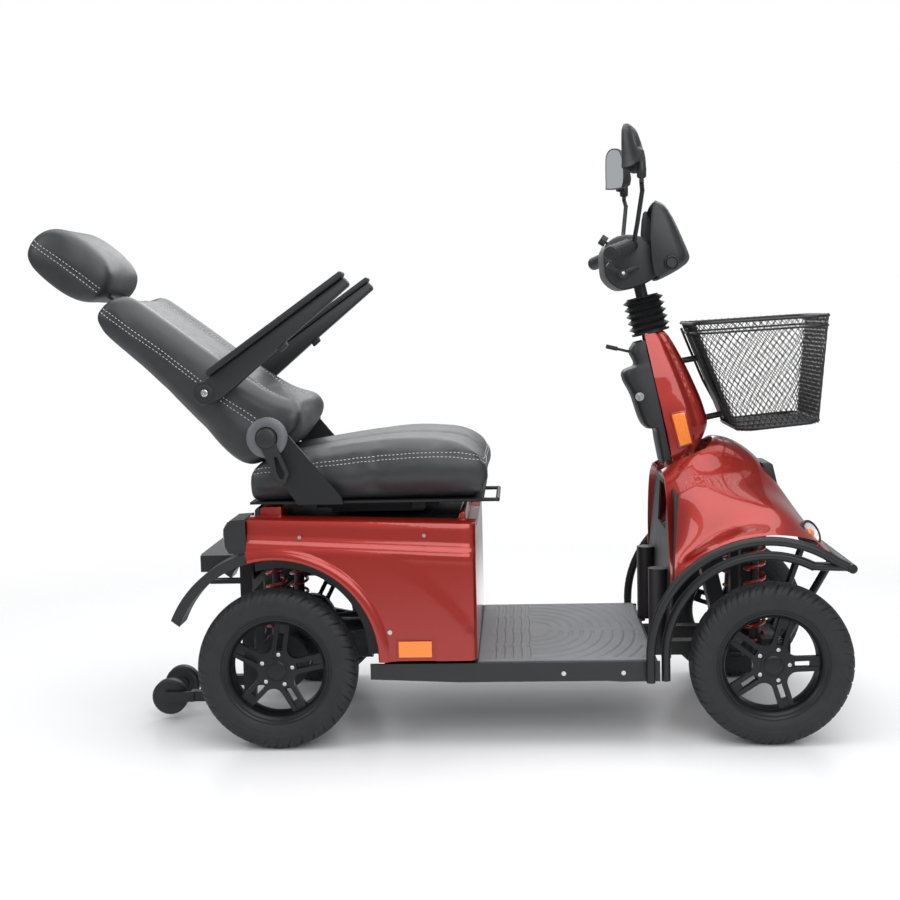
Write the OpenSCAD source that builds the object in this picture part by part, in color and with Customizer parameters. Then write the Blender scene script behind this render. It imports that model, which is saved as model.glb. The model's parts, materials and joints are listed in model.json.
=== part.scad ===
// Four-wheel mobility scooter: painted body on a steel frame, reclining swivel seat,
// tilting tiller with basket, independent front arms and a sprung rear drive axle.
// +X is forward, +Y is the rider's left, +Z is up. The floor is Z = 0.

/* [Wheels] */
// Outer radius of a road tyre
tyre_r = 177; // [165:1:190]
// Section width of a road tyre
tyre_w = 84; // [70:1:92]
// Radius of the rim's outer lip
lip_r = 118; // [108:1:126]
// Distance between the front and rear axles
wheelbase = 1075; // [1000:5:1200]
// Middle plane of a wheel, out from the centre line
half_track = 286; // [275:1:310]
// Radius of a wheel's stub axle
stub_r = 12; // [9:0.5:15]
// Radius of an anti-tip wheel
tip_r = 42; // [35:1:50]
// Number of twin spokes in a rim
spokes = 5; // [4:1:7]

/* [Body] */
// Half width of the painted rear shroud
shroud_half = 314; // [310:1:335]
// Height of the rear shroud's top
shroud_top = 500; // [485:1:503]
// Front face of the rear shroud, ahead of the rear axle
shroud_front = 440; // [435:1:500]
// Radius of the rear wheel arch
arch_r = 225; // [210:1:232]
// Wall of the moulded covers
wall = 4; // [3:0.5:5]
// Height of the front cowl's crown
cowl_top = 662; // [640:1:668]
// Half width of the front cowl over the wheels
cowl_half = 270; // [240:1:280]
// Reach of the front bumper ahead of the front axle
nose_reach = 175; // [165:1:200]

/* [Deck] */
// Top of the steel deck
deck_z = 184; // [176:1:190]
// Thickness of the floor mat
mat_t = 6; // [4:1:10]
// Half width of the deck
deck_half = 298; // [280:1:305]

/* [Seat] */
// Swivel post, ahead of the rear axle
seat_x = 215; // [200:1:230]
// Underside of the seat cushion
seat_z = 538; // [532:1:560]
// Length of the seat cushion
cushion_l = 550; // [480:5:565]
// Half width of the seat cushion
cushion_half = 243; // [220:1:243]
// Crown height of the seat cushion
cushion_h = 138; // [110:1:142]
// Recline of the back from vertical
recline = 50; // [44:1:56]
// Length of the backrest above its hinge
back_l = 476; // [430:1:540]
// Half width of the backrest
back_half = 222; // [200:1:222]
// Half width of the headrest
head_half = 140; // [110:1:170]
// Length of the headrest
head_l = 216; // [180:1:240]
// Length of an armrest ahead of its pivot
arm_l = 398; // [330:1:420]

/* [Tiller] */
// Lean of the steering column back from vertical
column_lean = 13; // [10:1:16]
// Tilt pivot of the column, behind the front axle
pivot_back = 150; // [140:1:160]
// Height of the tilt pivot
pivot_z = 560; // [550:1:575]
// Radius of the spigot that the head turns on
spigot_r = 14; // [11:0.5:16]
// Half width of the handlebar over its grips
bar_half = 322; // [280:1:328]
// Radius of the handlebar tube
bar_r = 11; // [9:0.5:12]

/* [Basket] */
// Half width of the basket's rim
basket_half = 168; // [140:1:190]
// Length of the basket's rim
basket_l = 300; // [260:1:320]
// Height of the basket
basket_h = 238; // [200:1:260]

/* [Fits] */
// Radial clearance of a running fit
run = 0.05; // [0.03:0.01:0.1]
// Gap between neighbours that don't touch
gap = 0.3; // [0.2:0.05:0.4]

/* [Hidden] */
$fn = 48;

// Wheels
axle_z = tyre_r;
bead_r = lip_r - 14;
rim_half = 34;
lip_t = 3;
hub_r = 34;
hub_in = 10;
hub_out = 24;
tip_x = -300;
tip_y = 64;
tip_z = tip_r + 12;

// Frame
rail_y = [60, 95];
rail_z = [148, 180];
upper_z = [415, 445];
upright_x = [205, 235];
hood_half = 230;
swing = [250, 215];
swing_y = 131;
spring_x = -20;
spring_y = 165;
spring_top = 425;
spring_r = 27;
arm_pivot = [112, 168];
arm_pin_r = 8;
king_y = 226;
king_r = 10;
mast_half = 28;
lug_t = 8;
mast_l = (pivot_z - rail_z[1]) / cos(column_lean) + 6;

// Seat
post_top = 501;
pan_t = 5;
pan_z = seat_z - pan_t - gap;
plate_t = 10;
rail_h = 10;
ear_t = 2.6;
lever_y = 164;
ridge_x = 8;
ridge_h = 26;
pillar_x = wheelbase - 229;
pillar_r = 22;
hinge_x = -12;
hinge_z = seat_z + 145;
hinge_pin_r = 10;
side_y = 249;
side_t = 6;
arm_pivot_b = [-8, 166];
arm_droop = 15;
arm_pin = 8;
arm_y = [back_half + 15, back_half + 70];
head_gap = 13;
head_front = 45;
head_rear = -52;
head_round = 40;

// Tiller
pivot_x = wheelbase - pivot_back;
cover_low = 42;
cover_top = 338;
flange_top = 343;
bellows_top = 424;
spigot_top = 470;
part_line = -21;
bar_p = [pivot_x - 125, pivot_z + 526];
lever_p = [pivot_x - 149, pivot_z + 464];
stem_p = [pivot_x - 116, 245];
stem_top = pivot_z + 680;
basket_rear = pivot_x + 7;
basket_rim = pivot_z + 355;
basket_lean = 0.384;
visor_half = 130;

// The drawn frame is centred on the whole length
head_c = back_l + head_gap + head_l - head_round;
rear_x = hinge_x + cos(recline) * (head_rear + head_round) - sin(recline) * head_c - head_round;
front_x = wheelbase + nose_reach;
mid_x = (rear_x + front_x) / 2;

// ---------- shared shapes ----------
module xz(y0, y1) translate([0, y1, 0]) rotate([90, 0, 0]) linear_extrude(height = y1 - y0) children();
module yz(x0, x1) translate([x0, 0, 0]) rotate([90, 0, 90]) linear_extrude(height = x1 - x0) children();
module xy(z0, z1) translate([0, 0, z0]) linear_extrude(height = z1 - z0) children();
module box(a, b) translate(a) cube(b - a);
module both() {
  children();
  mirror([0, 1, 0]) children();
}
module side(s) mirror([0, s > 0 ? 1 : 0, 0]) children();
module y_rod(p, r, y0, y1) translate([p[0], y1, p[1]]) rotate([90, 0, 0]) cylinder(r = r, h = y1 - y0);
module x_rod(p, r, x0, x1) translate([x0, p[0], p[1]]) rotate([0, 90, 0]) cylinder(r = r, h = x1 - x0);
module rod(a, b, r) {
  d = b - a;
  translate(a) rotate([0, acos(d[2] / norm(d)), atan2(d[1], d[0])]) cylinder(r = r, h = norm(d));
}
module bent_rod(p, r) {
  for (i = [0 : len(p) - 2]) rod(p[i], p[i + 1], r);
  for (i = [1 : len(p) - 2]) translate(p[i]) sphere(r = r + 0.2);
}
module on_column() translate([pivot_x, 0, pivot_z]) rotate([0, -column_lean, 0]) children();
module on_back() translate([hinge_x, 0, hinge_z]) rotate([0, -recline, 0]) children();
module on_wheel(x, s) translate([x, s * half_track, axle_z]) rotate([-s * 90, 0, 0]) children();
// Corrugated sleeve: rings of a coil or folds of a bellows
module folds(r_in, r_valley, r_ridge, h, n) rotate_extrude() polygon(concat(
  [[r_in, 0]],
  [for (i = [0 : 2 * n]) [i % 2 == 0 ? r_valley : r_ridge, h * i / (2 * n)]],
  [[r_in, h]]));

// ---------- wheels ----------
// Half of a tyre's section, from its inner bead over the sidewall to the crown
tyre_half = [
  [bead_r + gap, 20], [bead_r + gap, rim_half - lip_t - gap], [lip_r + 2, rim_half - lip_t - gap],
  [lip_r + 7, tyre_w / 2 - 4], [(lip_r + tyre_r) / 2, tyre_w / 2], [tyre_r - 8, tyre_w / 2 - 5],
  [tyre_r, tyre_w / 2 - 22]];
tyre_inside = [[tyre_r - 10, tyre_w / 2 - 24], [tyre_r - 16, tyre_w / 2 - 16],
  [(lip_r + tyre_r) / 2, tyre_w / 2 - 9], [lip_r + 6, 22]];
module tyre(x, s) color([0.09, 0.09, 0.1]) on_wheel(x, s) rotate_extrude($fn = 96) polygon(concat(
  tyre_half,
  [for (i = [len(tyre_half) - 1 : -1 : 0]) [tyre_half[i][0], -tyre_half[i][1]]],
  [for (i = [len(tyre_inside) - 1 : -1 : 0]) [tyre_inside[i][0], -tyre_inside[i][1]]],
  tyre_inside));
module rim(x, s, phase) color([0.05, 0.05, 0.055]) on_wheel(x, s) {
  difference() {
    union() {
      rotate_extrude($fn = 96) polygon([
        [bead_r - 6, -rim_half], [lip_r, -rim_half], [lip_r, -rim_half + lip_t],
        [bead_r, -rim_half + lip_t], [bead_r, rim_half - lip_t], [lip_r, rim_half - lip_t],
        [lip_r, rim_half], [bead_r - 6, rim_half]]);
      translate([0, 0, -hub_in]) cylinder(r = hub_r, h = hub_in + hub_out);
      for (i = [0 : spokes - 1]) rotate(phase + 360 / spokes * i) for (t = [-1, 1])
        translate([hub_r - 6, t * 11 - 5.5, 10]) cube([bead_r - hub_r + 2, 11, 15]);
    }
    translate([0, 0, -hub_in - 1]) cylinder(r = stub_r + run, h = hub_in + hub_out + 2);
  }
  for (i = [0 : spokes - 1]) rotate(phase + 360 / spokes * (i + 0.5)) translate([26, 0, hub_out - 1])
    cylinder(r = 5, h = 5);
}
module antitip_wheel(s) color([0.12, 0.12, 0.12]) translate([tip_x, s * tip_y, tip_z]) rotate([90, 0, 0])
  difference() {
    union() {
      rotate_extrude() polygon([[8, -11], [tip_r - 12, -11], [tip_r - 4, -13], [tip_r, -9],
        [tip_r, 9], [tip_r - 4, 13], [tip_r - 12, 11], [8, 11]]);
      translate([0, 0, -15]) cylinder(r = 15, h = 30);
    }
    translate([0, 0, -16]) cylinder(r = 6 + run, h = 32);
  }

// ---------- frame and running gear ----------
module main_frame() color([0.07, 0.07, 0.075]) {
  both() {
    box([upright_x[0], rail_y[0], rail_z[0]], [wheelbase + 55, rail_y[1], rail_z[1]]);
    box([upright_x[0], rail_y[0], rail_z[0]], [upright_x[1], rail_y[1], upper_z[1]]);
    box([-120, rail_y[0], upper_z[0]], [upright_x[1], rail_y[1], upper_z[1]]);
    // swing arm pivot
    box([upright_x[1] - 20, rail_y[1] - 1, swing[1] - 18], [swing[0] + 14, 107, swing[1] + 18]);
    y_rod(swing, 10, 106, swing_y + 8);
    // front arm pivot pin between lugs
    for (i = [-1, 0, 1]) box([wheelbase - 4 + i * 69, rail_y[1] - 1, 150],
      [wheelbase + 4 + i * 69, arm_pivot[0] + 11, 182]);
    x_rod(arm_pivot, arm_pin_r, wheelbase - 73, wheelbase + 73);
    // front tower
    box([wheelbase - 35, rail_y[0], rail_z[1] - 1], [wheelbase + 5, rail_y[1], spring_top + 15]);
    // anti-tip arm with its wheel's pin, down from the upper rail's rear end
    box([-120, rail_y[0], tip_z - 9], [-92, rail_y[1] - 13, upper_z[0] + 1]);
    box([tip_x + 52, rail_y[0], tip_z - 9], [-92, rail_y[1] - 13, tip_z + 15]);
    box([tip_x - 10, tip_y + 16, tip_z - 9], [tip_x + 60, tip_y + 22, tip_z + 15]);
    box([tip_x + 52, rail_y[1] - 20, tip_z - 9], [tip_x + 60, tip_y + 22, tip_z + 15]);
    y_rod([tip_x, tip_z], 6, tip_y - 17, tip_y + 22);
  }
  box([spring_x - 28, -spring_y - 32, spring_top], [spring_x + 28, spring_y + 32, upper_z[1]]);
  box([-120, -rail_y[1], upper_z[0]], [-92, rail_y[1], upper_z[1]]);
  box([-92, -12, upper_z[0]], [upright_x[1], 12, upper_z[1] - 6]);
  for (x = [upright_x[0], 600, wheelbase - 85, wheelbase + 25])
    box([x, -rail_y[1], rail_z[0]], [x + 30, rail_y[1], rail_z[1]]);
  box([wheelbase - 35, -spring_y - 32, spring_top], [wheelbase + 5, spring_y + 32, spring_top + 15]);
  // swivel post with its bearing spigot
  box([seat_x - 45, -rail_y[1], upper_z[0]], [seat_x + 45, rail_y[1], upper_z[1]]);
  translate([seat_x, 0, upper_z[1] - 1]) cylinder(r = 30, h = post_top - upper_z[1] - 5);
  translate([seat_x, 0, post_top - 8]) cylinder(r = 70, h = 8);
  translate([seat_x, 0, post_top - 1]) cylinder(r = 20, h = plate_t + 2);
  // steering mast and the lugs of the tilt pivot
  on_column() {
    translate([-18, -mast_half - lug_t - 2, -mast_l]) cube([36, 2 * (mast_half + lug_t + 2), mast_l - 30]);
    for (t = [0, 1]) mirror([0, t, 0]) translate([-18, mast_half + 2, -31]) cube([36, lug_t, 47]);
    rotate([90, 0, 0]) cylinder(r = 8, h = 2 * mast_half + 10, center = true);
  }
  // tie-down loop behind the frame's rear end
  y_rod([-214, 318], 5, -16, 16);
  box([-206, -14, 313], [-100, -6, 323]);
  box([-206, 6, 313], [-100, 14, 323]);
  for (y = [-11, 11]) y_rod([-210, 318], 5, y - 5, y + 5);
  box([-120, -rail_y[0] - 1, 306], [-92, rail_y[0] + 1, 330]);
}
module floor_pan() color([0.1, 0.1, 0.11]) {
  box([upright_x[1] + gap, -deck_half, rail_z[1] + gap], [830, deck_half, deck_z]);
  both() xz(-deck_half - 7, -deck_half - gap) polygon([[205, 152], [400, 144], [720, 144],
    [750, 142], [834, 142], [834, deck_z + 2], [205, deck_z + 2]]);
  both() box([205, -deck_half - 1, rail_z[1] - 10], [830, -deck_half + 3, deck_z]);
}
module floor_mat() color([0.42, 0.42, 0.43]) difference() {
  box([shroud_front + gap, -deck_half, deck_z + gap], [pillar_x - pillar_r - gap, deck_half, deck_z + mat_t]);
  for (s = [-1, 1]) for (i = [0 : 6]) xy(deck_z + mat_t - 2, deck_z + mat_t + 1)
    intersection() {
      translate([560, s * 20]) difference() {
        circle(r = 60 + 30 * i);
        circle(r = 56 + 30 * i);
      }
      translate([shroud_front + 60, s > 0 ? 30 : -deck_half + 10]) square([320, deck_half - 40]);
    }
}
module batteries() color([0.16, 0.17, 0.18]) both() {
  box([272, 10, deck_z + gap], [shroud_front - wall - 4, 232, 390]);
  for (x = [295, 400]) translate([x, 200, 389.9]) cylinder(r = 8, h = 12);
}
module drive_unit() color([0.11, 0.11, 0.12]) {
  difference() {
    union() {
      y_rod([0, axle_z], 26, -216, 216);
      y_rod([0, axle_z], 74, -52, 52);
      x_rod([0, axle_z], 48, 30, 180);
      both() {
        y_rod([0, axle_z], 62, 214, 238);
        xz(113, swing_y) polygon([[-30, axle_z - 18], [swing[0], swing[1] - 16],
          [swing[0], swing[1] + 16], [-30, axle_z + 18]]);
        y_rod(swing, 18, 113, swing_y);
        box([spring_x - 30, spring_y - 25, 190], [spring_x + 30, spring_y + 27, 213]);
      }
    }
    both() y_rod(swing, 10 + run, 112, swing_y + 1);
  }
  both() y_rod([0, axle_z], stub_r, 237, half_track + hub_out - 2);
}
module rear_springs() color([0.6, 0.1, 0.08]) both()
  translate([spring_x, spring_y, 213 + gap]) folds(13, 19, spring_r, spring_top - 213 - 2 * gap, 8);
module front_spring(s) color([0.6, 0.1, 0.08]) side(s)
  translate([wheelbase - 15, -spring_y, 196 + gap]) folds(13, 19, spring_r - 2, spring_top - 196 - 2 * gap, 9);
module front_arm(s) color([0.08, 0.08, 0.09]) side(s) {
  difference() {
    union() {
      for (i = [-1, 1]) {
        x_rod([-arm_pivot[0], arm_pivot[1]], 14, wheelbase + i * 34.5 - 29, wheelbase + i * 34.5 + 29);
        rod([wheelbase + i * 34, -arm_pivot[0] - 11, arm_pivot[1]],
            [wheelbase + i * 5, -king_y + 12, axle_z - 3], 9);
      }
      translate([wheelbase, -king_y, axle_z - 32]) cylinder(r = 18, h = 64);
      translate([wheelbase - 15, -spring_y, axle_z - 14]) cylinder(r = 28, h = 196 - axle_z + 14);
    }
    x_rod([-arm_pivot[0], arm_pivot[1]], arm_pin_r + run, wheelbase - 80, wheelbase + 80);
    translate([wheelbase, -king_y, axle_z - 40]) cylinder(r = king_r + run, h = 80);
  }
}
module knuckle(s) color([0.1, 0.1, 0.11]) side(s) {
  translate([wheelbase, -king_y, axle_z - 44]) cylinder(r = king_r, h = 88);
  for (z = [-44, 33]) translate([wheelbase, -king_y, axle_z + z]) cylinder(r = 18, h = 11);
  for (z = [-44, 33]) box([wheelbase - 15, -king_y - 32, axle_z + z], [wheelbase + 15, -king_y, axle_z + z + 11]);
  box([wheelbase - 15, -king_y - 32, axle_z - 44], [wheelbase + 15, -king_y - 22, axle_z + 44]);
  y_rod([wheelbase, axle_z], 26, -king_y - 40, -king_y - 30);
  y_rod([wheelbase, axle_z], stub_r, -half_track - hub_out + 2, -king_y - 39);
}

// ---------- rear body ----------
module rear_profile(c) polygon([[-58 + c, 200], [-58 + c, 436], [-44 + c, shroud_top + 10 - c],
  [60, shroud_top + 6 - c], [shroud_front - 8 - c, shroud_top - 4 - c],
  [shroud_front - c, shroud_top - 14 - c], [shroud_front - c, deck_z + mat_t - 60 * sign(c)],
  [-58 + c, deck_z + mat_t - 60 * sign(c)]]);
module rear_shroud() color([0.6, 0.13, 0.08]) {
  difference() {
    xz(-shroud_half, shroud_half) rear_profile(0);
    xz(-shroud_half + wall, shroud_half - wall) rear_profile(wall);
    // the wheel arches, the floor line behind them and the open rear
    y_rod([0, axle_z + 18], arch_r, -shroud_half - 1, shroud_half + 1);
    box([-60, -shroud_half - 1, deck_z - 60], [arch_r - 10, shroud_half + 1, axle_z + 18]);
    box([-60, -200, 180], [0, 200, shroud_top - 10]);
    // the recess that the hood stands in
    box([-60, -hood_half - gap, shroud_top - 30], [shroud_front - 20, hood_half + gap, shroud_top + 12]);
    // pocket of the side reflector
    for (s = [-1, 1]) box([268, s * shroud_half - 1.5, 202], [342, s * shroud_half + 1.5, 239]);
  }
  both() difference() {
    y_rod([0, axle_z + 18], arch_r + 18, shroud_half - 2, shroud_half + 6);
    y_rod([0, axle_z + 18], arch_r, shroud_half - 3, shroud_half + 7);
    box([-300, shroud_half - 3, -100], [300, shroud_half + 7, deck_z + mat_t + 6]);
    box([-300, shroud_half - 3, -100], [-57, shroud_half + 7, 600]);
  }
}
module seat_hood() color([0.45, 0.09, 0.06]) difference() {
  low = shroud_top - 29;
  xz(-hood_half, hood_half) polygon([[-52, low], [shroud_front - 22, low], [shroud_front - 22, shroud_top + 9],
    [seat_x + 188, shroud_top + 9], [seat_x + 188, shroud_top - 5], [ridge_x, shroud_top - 5],
    [ridge_x, shroud_top + ridge_h], [-52, shroud_top + ridge_h]]);
  xz(-hood_half + wall, hood_half - wall) polygon([[-52 + wall, low - 1], [shroud_front - 22 - wall, low - 1],
    [shroud_front - 22 - wall, shroud_top + 9 - wall], [seat_x + 188 + wall, shroud_top + 9 - wall],
    [seat_x + 188 + wall, shroud_top - 5 - wall], [ridge_x - wall, shroud_top - 5 - wall],
    [ridge_x - wall, shroud_top + ridge_h - wall], [-52 + wall, shroud_top + ridge_h - wall]]);
  translate([seat_x, 0, low - 5]) cylinder(r = 74, h = 60);
}
module rear_corner_trims() color([0.06, 0.06, 0.065]) both() {
  difference() {
    xz(200, shroud_half - 2) polygon([[-104, 452], [-96, 436], [-60 + gap, 431], [-58 - gap, 431],
      [-58 - gap, shroud_top + 10], [-92, shroud_top + 8], [-106, shroud_top - 10]]);
    xz(204, shroud_half - 6) polygon([[-98, 455], [-93, 441], [-57, 436], [-57, shroud_top + 5],
      [-90, shroud_top + 3], [-100, shroud_top - 13]]);
  }
  // fender extension over the back of the tyre
  difference() {
    y_rod([0, axle_z + 18], arch_r + 22, 246, shroud_half + 4);
    y_rod([0, axle_z + 18], arch_r, 240, shroud_half + 5);
    box([-58 - gap, 240, -100], [400, shroud_half + 5, 600]);
    xz(240, shroud_half + 5) polygon([[-300, 262], [-190, 262], [-240, 300], [-300, 300]]);
    box([-300, 240, -100], [0, shroud_half + 5, 262]);
    box([-106, 240, 431 - gap], [0, shroud_half - 1, 600]);
  }
}
module tail_lenses() color([0.6, 0.02, 0.02]) both() intersection() {
  translate([-79, 262, 472]) sphere(r = 38);
  box([-130, 200, 400], [-106 - gap, 320, 540]);
}
module rear_box() color([0.09, 0.09, 0.1]) difference() {
  union() {
    box([-196, -150, 367], [-120 - gap, 150, 405]);
    box([-200, -120, 370], [-195, 120, 404]);
  }
  box([-191, -145, 372], [-126, 145, 400]);
  for (y = [-100, 100]) x_rod([y, 387], 4.25, -201, -190);
}
module wheel_liners() color([0.03, 0.03, 0.03]) both() difference() {
  y_rod([0, axle_z + 18], arch_r + 3, 238, shroud_half - wall - gap);
  y_rod([0, axle_z + 18], arch_r, 241, shroud_half);
  y_rod([0, axle_z + 18], 195, 230, shroud_half);
  box([-300, 230, -100], [300, shroud_half, deck_z + 10]);
  box([-300, 230, -100], [-53, shroud_half, 600]);
}
module side_reflectors() color([0.9, 0.45, 0.05]) both()
  box([269, shroud_half - 1.5 + 0.2, 203], [341, shroud_half + 1.2, 238]);
module fasteners() color([0.75, 0.75, 0.76]) both() {
  for (p = [[626, 162], [755, 162]]) y_rod(p, 5, deck_half + 7.2, deck_half + 10);
  for (p = [[251, 259]]) y_rod(p, 5, shroud_half + 0.2, shroud_half + 3);
  for (x = [60, 330]) y_rod([x, 470], 4, shroud_half + 0.2, shroud_half + 2.5);
}

// ---------- front body ----------
module cowl_side(c) polygon([[862, 200 - 20 * sign(c)], [866 - 10 * sign(c), 300], [880 - 10 * sign(c), 545],
  [884, 600], [930, 655 - c], [974, cowl_top + 2 - c], [1012, cowl_top - c], [1040, cowl_top - 19 - c],
  [1082 - c, cowl_top - 48 - c], [1112 - c, cowl_top - 76], [1124 - c, cowl_top - 136],
  [1153 - c, cowl_top - 164], [1184 - c, cowl_top - 210], [1204 - c, cowl_top - 262],
  [1212 - c, 360], [1212 - c, 330 - 20 * sign(c)], [1100, 200 - 20 * sign(c)]]);
module cowl_front(c) polygon([[-cowl_half + c, 180], [cowl_half - c, 180], [cowl_half - c, 400],
  [cowl_half - 40 - c, 470], [170 - c, 560], [110 - c, cowl_top - 12], [80, cowl_top + 5 - c],
  [-80, cowl_top + 5 - c], [-110 + c, cowl_top - 12], [-170 + c, 560], [-cowl_half + 40 + c, 470],
  [-cowl_half + c, 400]]);
module at_indicator() translate([1168, 168, cowl_top - 230]) rotate([0, 62, 42]) children();
module front_cowl() color([0.6, 0.13, 0.08]) translate([wheelbase - 1075, 0, 0]) difference() {
  intersection() {
    xz(-cowl_half, cowl_half) cowl_side(0);
    yz(850, 1230) cowl_front(0);
  }
  intersection() {
    xz(-cowl_half, cowl_half) cowl_side(wall);
    yz(850, 1230) cowl_front(wall);
  }
  // open rear, wheel arches, and the recess around the foot of the tiller
  box([840, -cowl_half + wall, 170], [869, cowl_half - wall, 500]);
  y_rod([1075, axle_z], 240, -cowl_half - 1, cowl_half + 1);
  box([1000, -cowl_half - 1, 100], [1230, cowl_half + 1, 300]);
  box([840, -92, 480], [1002, 92, 700]);
  // lamp apertures
  box([1090, -62, cowl_top - 136], [1140, 62, cowl_top - 80]);
  both() at_indicator() translate([0, 0, -10]) cylinder(r = 24 + gap, h = 40);
  // room for the bumper's struts
  box([1150, -cowl_half - 1, 100], [1230, cowl_half + 1, 372]);
}
module leg_shield() color([0.3, 0.3, 0.3]) translate([wheelbase - 1075, 0, 0]) {
  low = deck_z + gap;
  difference() {
    xz(-cowl_half, cowl_half) polygon([[858, low], [861.7, low], [862 - gap, 200], [866 - gap, 300],
      [880 - gap, 545], [876, 545], [862, 300]]);
    box([850, -84, 440], [890, 84, 600]);
  }
  both() difference() {
    translate([pillar_x - wheelbase + 1075, 150, low]) cylinder(r = pillar_r, h = 178);
    xz(100, 200) polygon([[859, low - 1], [863, 300], [868, 380], [900, 380], [900, low - 1]]);
  }
}
module front_lamps() color([0.85, 0.85, 0.83]) translate([wheelbase - 1075, 0, 0]) {
  box([1098, -62 + gap, cowl_top - 136 + gap], [1118, 62 - gap, cowl_top - 80 - gap]);
  both() at_indicator() cylinder(r = 24, h = 22);
}
module bumper_bars() color([0.06, 0.06, 0.065]) {
  c = [wheelbase - 12, axle_z + 20];
  both() {
    for (b = [[250, 315.5, 56], [216, 300, 62]]) {
      translate([c[0], b[1], c[1]]) rotate([90, 0, 0]) rotate(b[2])
        rotate_extrude(angle = 180 - b[2], $fn = 64) translate([b[0], 0]) circle(r = 10, $fn = 24);
      rod([c[0] - b[0], b[1], 142], [c[0] - b[0], b[1], c[1] + 3], 9.6);
      rod([c[0] + b[0] * cos(b[2]) - 2.5, b[1], c[1] + b[0] * sin(b[2]) + 1.5], [front_x - 12, b[1] - 1, 386], 9.4);
    }
    rod([front_x - 14, 150, 380], [wheelbase + 67, 70, 172], 9);
    box([wheelbase + 55 + gap, rail_y[0], rail_z[0] + 4], [wheelbase + 65, rail_y[1] - 8, rail_z[1]]);
  }
  y_rod([front_x - 10, 386], 10, -325.5, 325.5);
}

// ---------- seat ----------
module swivel_plate() color([0.08, 0.08, 0.085]) {
  top = post_top + plate_t;
  difference() {
    union() {
      box([seat_x - 105, -145, post_top + gap], [seat_x + 105, 145, top]);
      for (s = [-1, 1]) box([seat_x - 140, s * 137 - 9, top - 0.1], [seat_x + 140, s * 137 + 9, top + rail_h]);
      // ear that carries the swivel lever
      box([seat_x + 86, -lever_y - 14, top - 0.1], [seat_x + 108, -130, top + ear_t]);
    }
    translate([seat_x, 0, 400]) cylinder(r = 20 + run, h = 200);
  }
  translate([seat_x + 97, -lever_y, top + 1]) cylinder(r = 5, h = 11);
}
module swivel_lever() color([0.06, 0.06, 0.06]) {
  low = post_top + plate_t + ear_t + gap;
  difference() {
    box([seat_x + 87, -lever_y - 26, low], [seat_x + 107, -lever_y + 7.5, low + 8]);
    translate([seat_x + 97, -lever_y, low - 1]) cylinder(r = 5 + run, h = 20);
  }
  box([seat_x + 82, -lever_y - 30, low], [seat_x + 112, -lever_y - 14.5, low + 13]);
}
module seat_pan() color([0.07, 0.07, 0.075]) {
  rail_top = post_top + plate_t + rail_h;
  box([hinge_x - 48, -cushion_half + 6, pan_z], [hinge_x - 80 + cushion_l, cushion_half - 6, pan_z + pan_t]);
  for (s = [-1, 1]) difference() {
    box([seat_x - 75, s * 137 - 16, rail_top - 7], [seat_x + 75, s * 137 + 16, pan_z + 0.1]);
    box([seat_x - 76, s * 137 - 9 - gap, rail_top - 8], [seat_x + 76, s * 137 + 9 + gap, rail_top + gap]);
  }
  both() {
    // side plate up to the recline hinge, its pin and the round cover outside it
    difference() {
      union() {
        xz(side_y, side_y + side_t) polygon([[50, pan_z], [150, pan_z], [146, pan_z + 16],
          [hinge_x + 36, hinge_z + 14], [hinge_x + 10, hinge_z + 32], [hinge_x - 22, hinge_z + 26],
          [hinge_x - 33, hinge_z], [hinge_x - 22, hinge_z - 28]]);
        y_rod([hinge_x, hinge_z], hinge_pin_r, back_half + 4, side_y + 1);
        y_rod([hinge_x, hinge_z], 44, side_y + side_t - 0.1, side_y + side_t + 16);
      }
      y_rod([hinge_x, hinge_z], 8 + run, side_y + side_t + 1, side_y + side_t + 20);
    }
    box([52, cushion_half - 7, pan_z], [148, side_y + 1, pan_z + pan_t]);
    // ears and pins of the slide bar
    box([300, 112, pan_z - 20], [316, 124, pan_z + 0.1]);
    y_rod([308, pan_z - 14], 4, 100, 113);
  }
}
module slide_bar() color([0.07, 0.07, 0.075]) {
  z = pan_z - 14;
  both() {
    difference() {
      y_rod([308, z], 6.5, 101.5, 111.5);
      y_rod([308, z], 4 + run, 99, 113);
    }
    rod([313, 106.5, z], [487, 106.5, z], 4.5);
  }
  y_rod([487, z], 4.8, -110, 110);
}
module seat_cushion() color([0.12, 0.12, 0.125]) {
  x0 = hinge_x - 60;
  x1 = x0 + cushion_l;
  top = seat_z + cushion_h;
  half = [[cushion_half - 8, seat_z], [cushion_half, seat_z + 30], [cushion_half - 2, seat_z + 70],
    [cushion_half - 24, top - 36], [cushion_half - 100, top - 6]];
  intersection() {
    xz(-cushion_half, cushion_half) polygon([[x0, seat_z + 20], [x0 + 20, seat_z], [x1 - 30, seat_z],
      [x1 - 4, seat_z + 34], [x1, top - 70], [x1 - 14, top - 34], [x1 - 60, top - 10], [x1 - 190, top],
      [x1 - 330, top - 8], [x0 + 130, hinge_z - 34], [x0 + 34, hinge_z - 102], [x0, hinge_z - 118]]);
    yz(x0, x1) polygon(concat(half, [[0, top]], [for (i = [len(half) - 1 : -1 : 0]) [-half[i][0], half[i][1]]]));
  }
}
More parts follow.
